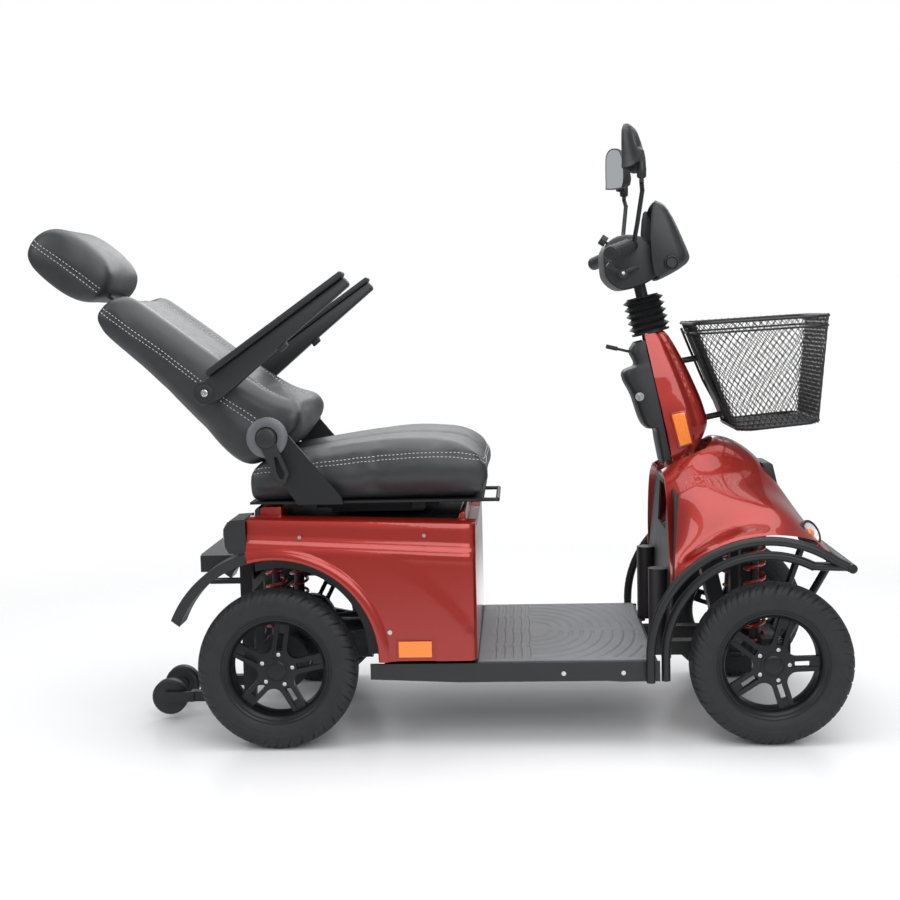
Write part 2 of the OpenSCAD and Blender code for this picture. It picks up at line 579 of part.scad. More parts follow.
module backrest() color([0.12, 0.12, 0.125]) on_back() difference() {
  union() {
    xz(-back_half, back_half) polygon([[-84, -4], [-90, 20], [-80, 170], [-48, back_l - 14],
      [-34, back_l], [2, back_l], [18, back_l - 16], [36, 190], [55, 40], [76, -18], [68, -36], [44, -36]]);
    // side bars of the back's steel frame, with the hinge lugs and armrest pins
    both() {
      xz(back_half - 1, back_half + 7) polygon([[-28, -4], [28, -4], [18, 176], [-34, 176]]);
      y_rod([0, 0], 30, back_half - 1, side_y - 3);
      y_rod(arm_pivot_b, 24, back_half - 1, arm_y[0] - gap);
      y_rod(arm_pivot_b, arm_pin, back_half, arm_y[0] + 42);
      y_rod(arm_pivot_b, 13, arm_y[0] + 40 + gap, arm_y[0] + 46);
    }
  }
  both() y_rod([0, 0], hinge_pin_r + run, back_half + 3, side_y);
  for (y = [-60, 60]) translate([-15, y, back_l - 125]) cylinder(r = 6 + run, h = 160);
}
module headrest() color([0.12, 0.12, 0.125]) on_back() {
  low = back_l + head_gap;
  x = [head_rear + head_round, head_front - head_round];
  z = [low + head_round, head_c];
  xz(-head_half, head_half) {
    for (a = x, b = z) translate([a, b]) circle(r = head_round);
    translate([head_rear, z[0]]) square([head_front - head_rear, z[1] - z[0]]);
    translate([x[0], low]) square([x[1] - x[0], head_l]);
  }
  for (y = [-60, 60]) translate([-15, y, back_l - 110]) cylinder(r = 6, h = 110 + head_gap + 20);
}
module armrest(s) color([0.1, 0.1, 0.105]) side(s) on_back() translate([arm_pivot_b[0], 0, arm_pivot_b[1]])
  rotate([0, arm_droop, 0]) difference() {
    union() {
      y_rod([0, 0], 28, -arm_y[0] - 34, -arm_y[0]);
      xz(-arm_y[0] - 34, -arm_y[0] - 4) polygon([[-10, -26], [40, -30], [arm_l - 188, -15],
        [arm_l, 2], [arm_l, 23], [36, 23], [20, 26], [-10, 26]]);
      xz(-arm_y[1], -arm_y[0]) polygon([[32, 22], [arm_l - 4, 22], [arm_l, 36], [34, 36]]);
      xz(-arm_y[0] - 30, -arm_y[0] - 8) polygon([[arm_l - 212, -26], [arm_l - 192, -24],
        [arm_l - 188, -10], [arm_l - 212, -12]]);
    }
    y_rod([0, 0], arm_pin + run, -arm_y[0] - 40, -arm_y[0] + 1);
  }
module recline_handle() color([0.1, 0.1, 0.1]) {
  y0 = side_y + side_t + 16 + gap;
  y_rod([hinge_x, hinge_z], 8, -y0 - 1, -y0 + 13);
  y_rod([hinge_x, hinge_z], 22, -y0 - 11, -y0);
  difference() {
    xz(-y0 - 9, -y0) polygon([[hinge_x - 14, hinge_z - 16], [hinge_x + 20, hinge_z - 10],
      [hinge_x + 48, hinge_z - 78], [hinge_x + 40, hinge_z - 100], [hinge_x + 24, hinge_z - 98],
      [hinge_x + 12, hinge_z - 76]]);
    xz(-y0 - 10, -y0 + 1) polygon([[hinge_x + 16, hinge_z - 40], [hinge_x + 24, hinge_z - 42],
      [hinge_x + 39, hinge_z - 78], [hinge_x + 35, hinge_z - 90], [hinge_x + 29, hinge_z - 90],
      [hinge_x + 21, hinge_z - 74]]);
  }
}

// ---------- tiller ----------
module basket_arms(r) {
  for (p = [[262, basket_rim - 86], [118, basket_rim - 218]])
    rod([pivot_x - sin(column_lean) * p[0], 0, pivot_z + cos(column_lean) * p[0]],
        [basket_wall(p[1]) - 4, 0, p[1]], r);
}
module steering_column() color([0.1, 0.1, 0.1]) {
  on_column() {
    difference() {
      union() {
        rotate([90, 0, 0]) cylinder(r = 16, h = 2 * mast_half + 3, center = true);
        translate([0, 0, 10]) cylinder(r = 17, h = 330);
        translate([0, 0, cover_top + gap]) cylinder(r = 44, h = flange_top - cover_top - gap);
        translate([0, 0, flange_top - 1]) cylinder(r = spigot_r, h = spigot_top - flange_top + 1);
      }
      rotate([90, 0, 0]) cylinder(r = 8 + run, h = 100, center = true);
    }
    // ears and pin of the tilt lever
    for (t = [0, 1]) mirror([0, t, 0]) translate([-50, 4, 292]) cube([40, 5, 16]);
    y_rod([-44, 300], 4, -6, 6);
  }
  basket_arms(7);
  xz(-45, 45) polygon([for (q = [[-6, 35], [-gap - 0.2, 35], [-gap - 0.2, 225], [-6, 225]])
    [basket_wall(basket_rim - q[1]) + q[0], basket_rim - q[1]]]);
}
module front_outline(c) polygon([[part_line, cover_low - c], [part_line, cover_top - c], [29 - c, cover_top - c],
  [48 - c, 288], [59 - c, 246], [74 - c, 169], [78 - c, 108], [70 - c, 70 + c], [38 - c, 50 + c],
  [part_line + 14, cover_low - c]]);
module tiller_cover_front() color([0.6, 0.13, 0.08]) difference() {
  on_column() difference() {
    xz(-66, 66) front_outline(0);
    xz(-63, 63) translate([-1, 0]) front_outline(2.5);
    translate([0, 0, 20]) cylinder(r = 19, h = 340);
  }
  basket_arms(8.5);
}
module tiller_cover_rear() color([0.07, 0.07, 0.075]) on_column() difference() {
  xz(-58, 58) polygon([[part_line - gap, cover_top], [-46, cover_top], [-50, 324], [-62, 307], [-54, 274],
    [-91, 249], [-79, 207], [-74, 151], [-65, 128], [-48, 121], [-50, 50], [-34, cover_low],
    [part_line - gap, cover_low]]);
  xz(-55, 55) polygon([[part_line, cover_top - 3], [-44, cover_top - 3], [-47, 322], [-58, 306], [-50, 272],
    [-86, 247], [-75, 207], [-70, 153], [-62, 131], [-45, 124], [-47, 50], [-33, cover_low - 1],
    [part_line, cover_low - 1]]);
  translate([0, 0, 300]) cylinder(r = 19, h = 60);
  translate([-90, -6, 290]) cube([50, 12, 42]);
  y_rod([-64, 204], 8 + run, -60, -50);
}
module bellows() color([0.05, 0.05, 0.05]) on_column() translate([0, 0, flange_top + gap])
  folds(22, 36, 47, bellows_top - flange_top - gap, 5);
module tilt_lever() color([0.1, 0.1, 0.1]) on_column() {
  difference() {
    y_rod([-44, 300], 9, -3.6, 3.6);
    y_rod([-44, 300], 4 + run, -5, 5);
  }
  rod([-51.5, 0, 304], [-88, 0, 322.6], 3.2);
  rod([-84, 0, 320.6], [-108, 0, 332.8], 5);
}
module key_switch() color([0.7, 0.7, 0.72]) on_column() {
  y_rod([-64, 204], 8, -59, -48);
  y_rod([-64, 204], 10, -61, -58 - gap);
  translate([-66, -74, 198]) cube([4, 14, 12]);
}
module housing_outline(c) polygon([[pivot_x - 188 + c, 1080], [pivot_x - 187 + c, 1017], [pivot_x - 173 + c, 1000 + c],
  [pivot_x - 157, 991 + c], [pivot_x - 133, 988 + c], [pivot_x - 97, 999 + c], [pivot_x - 69 - c, 1018 + c / 2],
  [pivot_x - 67 - c, 1060], [pivot_x - 75 - c, 1098 - c], [pivot_x - 135, 1112 - c], [pivot_x - 173 + c, 1106 - c]]);
module head_housing() color([0.06, 0.06, 0.065]) translate([0, 0, pivot_z - 560]) difference() {
  union() {
    difference() {
      xz(-105, 105) housing_outline(0);
      xz(-101, 101) housing_outline(4);
    }
    translate([0, 0, 560 - pivot_z]) on_column() {
      translate([0, 0, bellows_top + gap]) cylinder(r = 36, h = 28);
      translate([0, 0, 440]) cylinder(r = 21, h = 34);
    }
  }
  translate([0, 0, 560 - pivot_z]) {
    on_column() translate([0, 0, bellows_top - 1]) cylinder(r = spigot_r + run, h = spigot_top - bellows_top + 2);
    y_rod(bar_p, bar_r + gap, -110, 110);
    y_rod(lever_p, 5 + run, -110, 110);
    translate([pivot_x - 178, -70, pivot_z + 534]) rotate([0, -56, 0]) cylinder(r = 3 + run, h = 40, center = true);
  }
}
module visor_outline(c) polygon([[pivot_x - 106 + c, 1130], [pivot_x - 79 + c, 1150], [pivot_x - 79 + c, 1180 - c],
  [pivot_x - 67, 1190 - c], [pivot_x - 47 - c, 1178], [pivot_x - 18 - c, 1128], [pivot_x + 9 - c, 1063],
  [pivot_x - 3 - c, 1042 + c], [pivot_x - 25, 1028 + c], [pivot_x - 69 + gap + c, 1018 + c],
  [pivot_x - 67 + gap + c, 1060], [pivot_x - 75 + gap + c, 1098]]);
module head_cowl() color([0.06, 0.06, 0.065]) translate([0, 0, pivot_z - 560]) difference() {
  xz(-visor_half, visor_half) visor_outline(0);
  xz(-visor_half + 4, visor_half - 4) visor_outline(4);
  box([pivot_x - 112, -105, 1118], [pivot_x - 70, 105, 1184]);
  y_rod([pivot_x - 41, 1046], 6 + run, -visor_half - 1, -visor_half + 6);
}
module horn_button() color([0.08, 0.08, 0.08]) translate([0, 0, pivot_z - 560]) {
  y_rod([pivot_x - 41, 1046], 6, -visor_half - 4, -visor_half + 8);
  y_rod([pivot_x - 41, 1046], 11, -visor_half - 8, -visor_half - 3.6);
}
module handlebar() color([0.09, 0.09, 0.095]) {
  both() {
    bent_rod([[bar_p[0], 0, bar_p[1]], [bar_p[0], 118, bar_p[1]], [bar_p[0] - 12, 185, bar_p[1] - 3],
      [bar_p[0] - 66, bar_half - 2, bar_p[1] - 24]], bar_r);
    bent_rod([[bar_p[0] - 3, 172, bar_p[1] + 2], [bar_p[0] + 3, 200, bar_p[1] + 44],
      [stem_p[0] + 3, 226, bar_p[1] + 112], [stem_p[0], stem_p[1], stem_top - 26]], 5);
    translate([stem_p[0], stem_p[1], stem_top - 27]) cylinder(r = 5, h = 27);
  }
}
module grips() color([0.05, 0.05, 0.05]) both() {
  a = [bar_p[0] - 18, 200, bar_p[1] - 5.3];
  b = [bar_p[0] - 66, bar_half - 2, bar_p[1] - 24];
  u = (b - a) / norm(b - a);
  difference() {
    rod(a, b + u * 2.4, 16);
    rod(a - u * 5, b + u * gap, bar_r + gap);
  }
}
module throttle_levers() color([0.07, 0.07, 0.07]) {
  y_rod(lever_p, 5, -142, 142);
  both() {
    rod([lever_p[0], 128, lever_p[1]], [lever_p[0] - 34, 134, lever_p[1] + 22], 5);
    rod([lever_p[0], 128, lever_p[1]], [lever_p[0] + 36, 132, lever_p[1] + 16], 5);
    y_rod(lever_p, 10, 118, 140);
  }
}
module speed_knob() color([0.05, 0.05, 0.05]) translate([pivot_x - 178, -70, pivot_z + 534]) rotate([0, -56, 0]) {
  translate([0, 0, -8]) cylinder(r = 3, h = 16);
  translate([0, 0, 5]) cylinder(r = 12, h = 15);
}
module mirror_unit(s) color([0.07, 0.07, 0.075]) side(s) translate([stem_p[0], -stem_p[1], stem_top])
  rotate([0, 0, -20]) {
    difference() {
      union() {
        translate([0, 0, -16]) cylinder(r = 11, h = 26);
        yz(-34, -8) polygon([[34, 0], [-66, -2], [-72, 16], [-70, 62], [-44, 92], [10, 98], [34, 84]]);
        box([-14, -9, -8], [0, 9, 10]);
      }
      translate([0, 0, -17]) cylinder(r = 5 + run, h = 18);
    }
  }
function basket_wall(z) = basket_rear + (basket_rim - 4 - z) * basket_lean;
module basket_hull(c, up) {
  corner = 45;
  x = [basket_rear + c, basket_rear + basket_l - c];
  drop = basket_h + 12;
  hull() {
    for (y = [-basket_half + corner + c, basket_half - corner - c]) {
      for (i = [0, 1]) translate([x[i] + (i == 0 ? corner : -corner), y, basket_rim + i * 13 - 4])
        cylinder(r = corner, h = 4 + up, $fn = 32);
      translate([basket_wall(basket_rim - drop) + c + corner, y * 0.96, basket_rim - drop + c]) cylinder(r = corner, h = 3, $fn = 32);
      translate([x[1] - 22 - corner, y * 0.96, basket_rim - drop + c + 18]) cylinder(r = corner, h = 3, $fn = 32);
    }
  }
}
module basket() color([0.08, 0.08, 0.08]) difference() {
  basket_hull(0, 0);
  basket_hull(4, 2);
}

module place() translate([-mid_x, 0, 0]) children();
place() main_frame();
place() floor_pan();
place() floor_mat();
place() batteries();
place() rear_shroud();
place() seat_hood();
place() rear_corner_trims();
place() tail_lenses();
place() rear_box();
place() wheel_liners();
place() front_cowl();
place() leg_shield();
place() front_lamps();
place() bumper_bars();
place() side_reflectors();
place() fasteners();
place() rear_springs();
place() front_spring(-1);  // front_spring_r
place() front_spring(1);  // front_spring_l
place() drive_unit();
place() tyre(wheelbase, -1);  // tyre_fr
place() tyre(wheelbase, 1);  // tyre_fl
place() tyre(0, -1);  // tyre_rr
place() tyre(0, 1);  // tyre_rl
place() rim(wheelbase, -1, 0);  // rim_fr
place() rim(wheelbase, 1, 0);  // rim_fl
place() rim(0, -1, 13);  // rim_rr
place() rim(0, 1, 13);  // rim_rl
place() antitip_wheel(-1);  // antitip_wheel_r
place() antitip_wheel(1);  // antitip_wheel_l
place() front_arm(-1);  // front_arm_r
place() front_arm(1);  // front_arm_l
place() knuckle(-1);  // knuckle_r
place() knuckle(1);  // knuckle_l
place() steering_column();
place() tiller_cover_front();
place() tiller_cover_rear();
place() bellows();
place() tilt_lever();
place() key_switch();
place() head_housing();
place() head_cowl();
place() handlebar();
place() grips();
place() throttle_levers();
place() horn_button();
place() speed_knob();
place() mirror_unit(-1);  // mirror_r
place() mirror_unit(1);  // mirror_l
place() basket();
place() swivel_plate();
place() seat_pan();
place() seat_cushion();
place() slide_bar();
place() swivel_lever();
place() backrest();
place() recline_handle();
place() headrest();
place() armrest(-1);  // armrest_r
place() armrest(1);  // armrest_l
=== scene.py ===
# A four-wheel mobility scooter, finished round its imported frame.
# Shapes are given in millimetres ahead of the rear axle, to the rider's left and above the floor.
import json
import math

import bmesh
import bpy
from mathutils import Matrix, Vector
from mathutils.bvhtree import BVHTree
from mathutils.kdtree import KDTree

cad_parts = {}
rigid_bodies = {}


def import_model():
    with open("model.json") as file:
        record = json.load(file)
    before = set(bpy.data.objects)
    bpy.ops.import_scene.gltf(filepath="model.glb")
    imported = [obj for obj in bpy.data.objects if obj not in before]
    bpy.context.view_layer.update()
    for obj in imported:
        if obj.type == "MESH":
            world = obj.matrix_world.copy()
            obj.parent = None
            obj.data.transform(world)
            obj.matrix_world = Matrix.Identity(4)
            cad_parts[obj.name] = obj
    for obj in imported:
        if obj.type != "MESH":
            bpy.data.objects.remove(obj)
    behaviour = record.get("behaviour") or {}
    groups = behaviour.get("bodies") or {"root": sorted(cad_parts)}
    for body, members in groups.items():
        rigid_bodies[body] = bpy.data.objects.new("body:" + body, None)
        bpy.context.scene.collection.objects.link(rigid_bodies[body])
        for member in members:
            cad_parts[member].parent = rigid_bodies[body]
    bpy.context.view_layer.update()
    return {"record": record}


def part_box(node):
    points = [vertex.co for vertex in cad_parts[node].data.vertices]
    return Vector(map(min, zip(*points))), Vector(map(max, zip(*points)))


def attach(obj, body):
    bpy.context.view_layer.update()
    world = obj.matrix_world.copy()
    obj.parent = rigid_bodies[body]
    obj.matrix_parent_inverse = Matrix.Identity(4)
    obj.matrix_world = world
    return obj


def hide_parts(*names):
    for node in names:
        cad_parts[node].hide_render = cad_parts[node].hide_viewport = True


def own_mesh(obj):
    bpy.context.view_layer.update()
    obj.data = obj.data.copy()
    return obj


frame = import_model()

scene = bpy.context.scene
axle_low, axle_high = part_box("rim_rr")
AXLE_X = (axle_low[0] + axle_high[0]) / 2
TO_ROW = Matrix.Translation((AXLE_X, 0, 0)) @ Matrix.Scale(0.001, 4)


# ---------------------------------------------------------------- camera and studio
# A long studio lens at chest height beside the machine, over a pale floor that fades into white.
# Wide soft boxes hang above and in front, so that gloss shows long soft highlights.
def add(made, kind, inputs=None, **settings):
    """Adds one shader node with its settings, and sets or links its inputs."""
    node = made.node_tree.nodes.new("ShaderNode" + kind)
    for name, value in settings.items():
        setattr(node, name, value)
    for name, value in (inputs or {}).items():
        if isinstance(value, bpy.types.NodeSocket):
            made.node_tree.links.new(value, node.inputs[name])
        else:
            node.inputs[name].default_value = value
    return node


def linear(code, alpha=1.0):
    """An sRGB hex colour as the linear one that shaders use."""
    parts = [int(code[i : i + 2], 16) / 255 for i in (0, 2, 4)]
    return (*[c / 12.92 if c <= 0.04045 else ((c + 0.055) / 1.055) ** 2.4 for c in parts], alpha)


scene.view_settings.view_transform = "Standard"
camera = bpy.data.objects.new("camera", bpy.data.cameras.new("camera"))
scene.collection.objects.link(camera)
camera.data.lens = 56.3
camera.data.sensor_width = 36
yaw, dip, roll = [math.radians(a) for a in (2.79, 5.53, -1.3)]
camera.matrix_world = (
    Matrix.Translation(TO_ROW @ Vector((536, -3306, 944)))
    @ Matrix.Rotation(yaw, 4, "Z")
    @ Matrix.Rotation(math.pi / 2 - dip, 4, "X")
    @ Matrix.Rotation(roll, 4, "Z")
)
scene.camera = camera

studio = bpy.data.worlds.new("studio")
scene.world = studio
studio.use_nodes = True
for node in list(studio.node_tree.nodes):
    studio.node_tree.nodes.remove(node)
seen = add(studio, "LightPath").outputs["Is Camera Ray"]
room = add(studio, "Background", {"Color": linear("d8dadd"), "Strength": 0.6})
white = add(studio, "Background", {"Color": linear("ffffff"), "Strength": 1.0})
both = add(studio, "MixShader", {0: seen, 1: room.outputs[0], 2: white.outputs[0]})
add(studio, "OutputWorld", {"Surface": both.outputs[0]})


def soft_box(name, place, aim, size, power):
    """A rectangular area light at a place in metres, aimed at another."""
    light = bpy.data.lights.new(name, "AREA")
    light.shape = "RECTANGLE"
    light.size, light.size_y = size
    light.energy = power
    lamp = bpy.data.objects.new(name, light)
    scene.collection.objects.link(lamp)
    turn = (Vector(aim) - Vector(place)).to_track_quat("-Z", "Y")
    lamp.matrix_world = Matrix.Translation(place) @ turn.to_matrix().to_4x4()


soft_box("top_box", (0.1, 0.1, 3.0), (0, 0, 0.3), (4.2, 3.0), 100)
soft_box("front_box", (1.4, -3.6, 2.6), (0.2, 0, 0.5), (3.8, 2.4), 85)
soft_box("rear_box_light", (-2.8, -2.0, 2.2), (-0.2, 0, 0.6), (1.2, 2.0), 26)
soft_box("back_box", (0.3, 3.4, 2.4), (0, 0, 0.5), (3.5, 1.6), 45)

bpy.ops.mesh.primitive_circle_add(vertices=96, radius=3.4, fill_type="NGON", location=(0.1, 0, 0))
floor = bpy.context.active_object
floor.name = "floor"
pale = bpy.data.materials.new("pale_floor")
pale.use_nodes = True
shader = pale.node_tree.nodes["Principled BSDF"]
shader.inputs["Base Color"].default_value = linear("f7f7f8")
shader.inputs["Roughness"].default_value = 0.22
shader.inputs["IOR"].default_value = 1.38
place = add(pale, "TexCoord").outputs["Object"]
far = add(pale, "VectorMath", {0: place}, operation="LENGTH").outputs["Value"]
fade = add(pale, "MapRange", {"Value": far, "From Min": 1.25, "From Max": 2.7}, interpolation_type="SMOOTHSTEP")
clear = add(pale, "BsdfTransparent")
mixed = add(pale, "MixShader", {0: fade.outputs["Result"], 1: shader.outputs[0], 2: clear.outputs[0]})
pale.node_tree.links.new(mixed.outputs[0], pale.node_tree.nodes["Material Output"].inputs["Surface"])
floor.data.materials.append(pale)


# ---------------------------------------------------------------- tyres
# Four pneumatic scooter tyres of dull grey rubber, cured in a mould that leaves slanted blocks on
# the shoulders, a zigzag groove each side of the crown and fine rings on the walls.
TYRE_R = 177
TRACK = 286
WHEELBASE = 1075
PITCHES = 36
SHOULDER_IN, SHOULDER_OUT = 11, 62
SIPE_IN, SIPE_OUT = 26, 54
WHEELS = {"rr": (0, -1, 10), "rl": (0, 1, 46), "fr": (WHEELBASE, -1, 0), "fl": (WHEELBASE, 1, 20)}


def finish(name, colour, roughness, **sockets):
    """A new material whose shader has this colour, roughness and other socket values."""
    made = bpy.data.materials.new(name)
    made.use_nodes = True
    inputs = made.node_tree.nodes["Principled BSDF"].inputs
    inputs["Base Color"].default_value = linear(colour)
    inputs["Roughness"].default_value = roughness
    for socket, value in sockets.items():
        inputs[socket.replace("_", " ")].default_value = value
    return made


def feed(made, socket, value):
    """Links a node's output to a socket of the material's shader."""
    made.node_tree.links.new(value, made.node_tree.nodes["Principled BSDF"].inputs[socket])


def two_tone(made, pattern, dark, light):
    """Lets a pattern from 0 to 1 run the material's colour from dark to light."""
    mix = add(made, "Mix", {"Factor": pattern, "A": linear(dark), "B": linear(light)}, data_type="RGBA")
    feed(made, "Base Color", mix.outputs["Result"])


def smooth(points, steps, closed=False):
    """Runs a Catmull-Rom curve through points, with a number of steps between each two."""
    count = len(points)
    out = []
    for i in range(count if closed else count - 1):
        if closed:
            a, b, c, d = [Vector(points[(i + k) % count]) for k in (-1, 0, 1, 2)]
        else:
            a, b, c, d = [Vector(points[min(max(i + k, 0), count - 1)]) for k in (-1, 0, 1, 2)]
        for k in range(steps):
            t = k / steps
            out.append(
                0.5 * (2 * b + (c - a) * t + (2 * a - 5 * b + 4 * c - d) * t**2 + (3 * b - a - 3 * c + d) * t**3)
            )
    return out if closed else out + [Vector(points[-1])]


def only(piece):
    """Selects one piece and nothing else."""
    bpy.ops.object.select_all(action="DESELECT")
    piece.select_set(True)
    bpy.context.view_layer.objects.active = piece


def shape(name, points, faces):
    """A new mesh piece from points and faces."""
    mesh = bpy.data.meshes.new(name)
    mesh.from_pydata([tuple(p) for p in points], [], faces)
    piece = bpy.data.objects.new(name, mesh)
    scene.collection.objects.link(piece)
    only(piece)
    return piece


def put(piece, body, material, slot, *nodes, turn=None, edge=35):
    """Sets a piece that was made in millimetres in its place, with its finish, body and CAD nodes."""
    piece.data.transform(TO_ROW @ (turn or Matrix()))
    piece.data.materials.clear()
    piece.data.materials.append(material)
    only(piece)
    bpy.ops.object.shade_smooth_by_angle(angle=math.radians(edge))
    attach(piece, body)
    if nodes:
        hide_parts(*nodes)
    return piece


# Cured rubber is dull, with dusty patches and fine pores.
rubber = finish("cured_tyre_rubber", "1d1f22", 0.62, Specular_IOR_Level=0.4)
where = add(rubber, "TexCoord").outputs["Object"]
dust = add(rubber, "TexNoise", {"Vector": where, "Scale": 38.0, "Detail": 6.0, "Roughness": 0.65}).outputs["Fac"]
two_tone(rubber, dust, "151618", "28292c")
pores = add(rubber, "TexNoise", {"Vector": where, "Scale": 900.0, "Detail": 2.0}).outputs["Fac"]
feed(rubber, "Normal", add(rubber, "Bump", {"Height": pores, "Strength": 0.16, "Distance": 0.0006}).outputs[0])

wall = [(119, 30), (121, 35), (128, 39), (141, 41.6), (152, 42), (160, 40.6), (167, 36.6), (172.5, 29)]
crown = [(175.6, 17), (177, 0), (175.6, -17)]
section = smooth(wall + crown + [(r, -a) for r, a in reversed(wall)], 4)


def groove(depth, distance, half_width):
    """How deep a groove with steep walls is at a distance from its middle."""
    return depth * min(max((half_width - abs(distance)) / 1.1 + 0.5, 0), 1)


def tread(phase, across):
    """Depth of the tread at a share of its pitch and a distance round from the crown."""
    far_out = abs(across)
    phase = (phase + (0.5 if across > 0 else 0)) % 1
    pitch = 2 * math.pi * TYRE_R / PITCHES
    zigzag = 9 + 5 * abs(2 * phase - 1)
    depth = groove(4, far_out - zigzag, 1.7)
    if not SHOULDER_IN < far_out < SHOULDER_OUT:
        return depth
    line = ((far_out - SHOULDER_IN) / (SHOULDER_OUT - SHOULDER_IN)) ** 1.4 * 0.8
    offset = ((phase - line + 0.5) % 1 - 0.5) * pitch
    depth = max(depth, groove(4.6 * min((SHOULDER_OUT - far_out) / 10, 1), offset, 2.1))
    if SIPE_IN < far_out < SIPE_OUT:
        offset = ((phase - line) % 1 - 0.5) * pitch
        depth = max(depth, groove(2.6 * min((SIPE_OUT - far_out) / 8, 1, (far_out - SIPE_IN) / 4), offset, 1.1))
    return depth


lengths = [0.0]
for a, b in zip(section, section[1:]):
    lengths.append(lengths[-1] + (b - a).length)
middle = lengths[-1] / 2
steps_a_pitch = 20
turns = PITCHES * steps_a_pitch
tyre_points = []
for i in range(turns):
    angle = 2 * math.pi * i / turns
    for (radius, out), along in zip(section, lengths):
        radius -= tread(i % steps_a_pitch / steps_a_pitch, along - middle)
        if 146 < radius < 149.5 or 133 < radius < 134.5:
            out += 0.7 if out > 0 else -0.7
        tyre_points.append((radius * math.cos(angle), out, radius * math.sin(angle)))
rows = len(section)
tyre_faces = [
    (i * rows + j, i * rows + j + 1, (i + 1) % turns * rows + j + 1, (i + 1) % turns * rows + j)
    for i in range(turns)
    for j in range(rows - 1)
]
inner = [
    (i * rows, (i + 1) % turns * rows, (i + 1) % turns * rows + rows - 1, i * rows + rows - 1) for i in range(turns)
]
for key, (x, side, _) in WHEELS.items():
    tyre = shape("tyre_tread_" + key, tyre_points, tyre_faces + inner)
    bm = bmesh.new()
    bm.from_mesh(tyre.data)
    bmesh.ops.recalc_face_normals(bm, faces=bm.faces)
    bm.to_mesh(tyre.data)
    bm.free()
    turn = Matrix.Translation((x, side * TRACK, TYRE_R)) @ Matrix.Rotation(0 if side < 0 else math.pi, 4, "Z")
    put(tyre, "wheel_" + key, rubber, "tyre", "tyre_" + key, turn=turn, edge=50)


# ---------------------------------------------------------------- alloy wheels
# Cast five-arm wheels in satin black: a deep stepped barrel, and a dished star whose arms split in two
# bars round a slot. Five bright cap screws hold each to its hub, round a plain centre cap.
SPOKES = 5


def apply(piece, kind, **settings):
    """Adds a modifier with its settings and applies it."""
    only(piece)
    modifier = piece.modifiers.new(kind.lower(), kind)
    for name, value in settings.items():
        setattr(modifier, name, value)
    bpy.ops.object.modifier_apply(modifier=modifier.name)


def tidy(piece):
    """Merges doubles and turns all faces outwards."""
    only(piece)
    bpy.ops.object.mode_set(mode="EDIT")
    bpy.ops.mesh.select_all(action="SELECT")
    bpy.ops.mesh.remove_doubles(threshold=0.01)
    bpy.ops.mesh.normals_make_consistent(inside=False)
    bpy.ops.object.mode_set(mode="OBJECT")


def turned(name, profile, steps=48, axis="Y"):
    """Spins a profile of (radius, distance along) points round an axis through the origin."""
    mesh = bpy.data.meshes.new(name)
    spots = [(r, a, 0) if axis == "Y" else (r, 0, a) for r, a in profile]
    mesh.from_pydata(spots, [(i, i + 1) for i in range(len(spots) - 1)], [])
    piece = bpy.data.objects.new(name, mesh)
    scene.collection.objects.link(piece)
    only(piece)
    bpy.ops.object.mode_set(mode="EDIT")
    bpy.ops.mesh.select_all(action="SELECT")
    spin_axis = (0, 1, 0) if axis == "Y" else (0, 0, 1)
    bpy.ops.mesh.spin(steps=steps, angle=2 * math.pi, center=(0, 0, 0), axis=spin_axis)
    bpy.ops.object.mode_set(mode="OBJECT")
    tidy(piece)
    return piece


def slab(name, outline, y0, y1, round_off=0.0, segments=3):
    """Extrudes an outline of (x, z) points from y0 to y1 and rounds its edges."""
    piece = shape(name, [(x, y0, z) for x, z in outline], [tuple(range(len(outline)))])
    bpy.ops.object.mode_set(mode="EDIT")
    bpy.ops.mesh.select_all(action="SELECT")
    bpy.ops.mesh.extrude_region_move(TRANSFORM_OT_translate={"value": (0, y1 - y0, 0)})
    bpy.ops.object.mode_set(mode="OBJECT")
    tidy(piece)
    if round_off:
        apply(piece, "BEVEL", width=round_off, segments=segments, limit_method="ANGLE", angle_limit=0.6)
    return piece


def join(first, *others):
    """Joins pieces into the first one."""
    only(first)
    for other in others:
        other.select_set(True)
    bpy.ops.object.join()
    return first


def cut(piece, cutter):
    """Takes the cutter's shape out of a piece."""
    apply(piece, "BOOLEAN", operation="DIFFERENCE", solver="EXACT", object=cutter)
    bpy.data.objects.remove(cutter)


def copy_of(piece, name):
    """A copy of a piece with its own mesh."""
    made = piece.copy()
    made.data = piece.data.copy()
    made.name = name
    scene.collection.objects.link(made)
    return made


# Black enamel over a cast surface has a satin gloss in patches, and a fine grain.
alloy = finish("satin_black_cast_alloy", "17181a", 0.36, Metallic=0.35)
where = add(alloy, "TexCoord").outputs["Object"]
grain = add(alloy, "TexNoise", {"Vector": where, "Scale": 1100.0, "Detail": 3.0}).outputs["Fac"]
feed(alloy, "Normal", add(alloy, "Bump", {"Height": grain, "Strength": 0.1, "Distance": 0.0004}).outputs[0])
patch = add(alloy, "TexNoise", {"Vector": where, "Scale": 26.0}).outputs["Fac"]
feed(alloy, "Roughness", add(alloy, "MapRange", {"Value": patch, "To Min": 0.3, "To Max": 0.44}).outputs["Result"])
# Zinc plate is bright, with a gloss that fine scratches break up.
bright = finish("bright_zinc_steel", "c9cacb", 0.22, Metallic=1.0)
where = add(bright, "TexCoord").outputs["Object"]
scratch = add(bright, "TexNoise", {"Vector": where, "Scale": 700.0, "Detail": 4.0}).outputs["Fac"]
scuffed = add(bright, "MapRange", {"Value": scratch, "To Min": 0.16, "To Max": 0.34}).outputs["Result"]
feed(bright, "Roughness", scuffed)

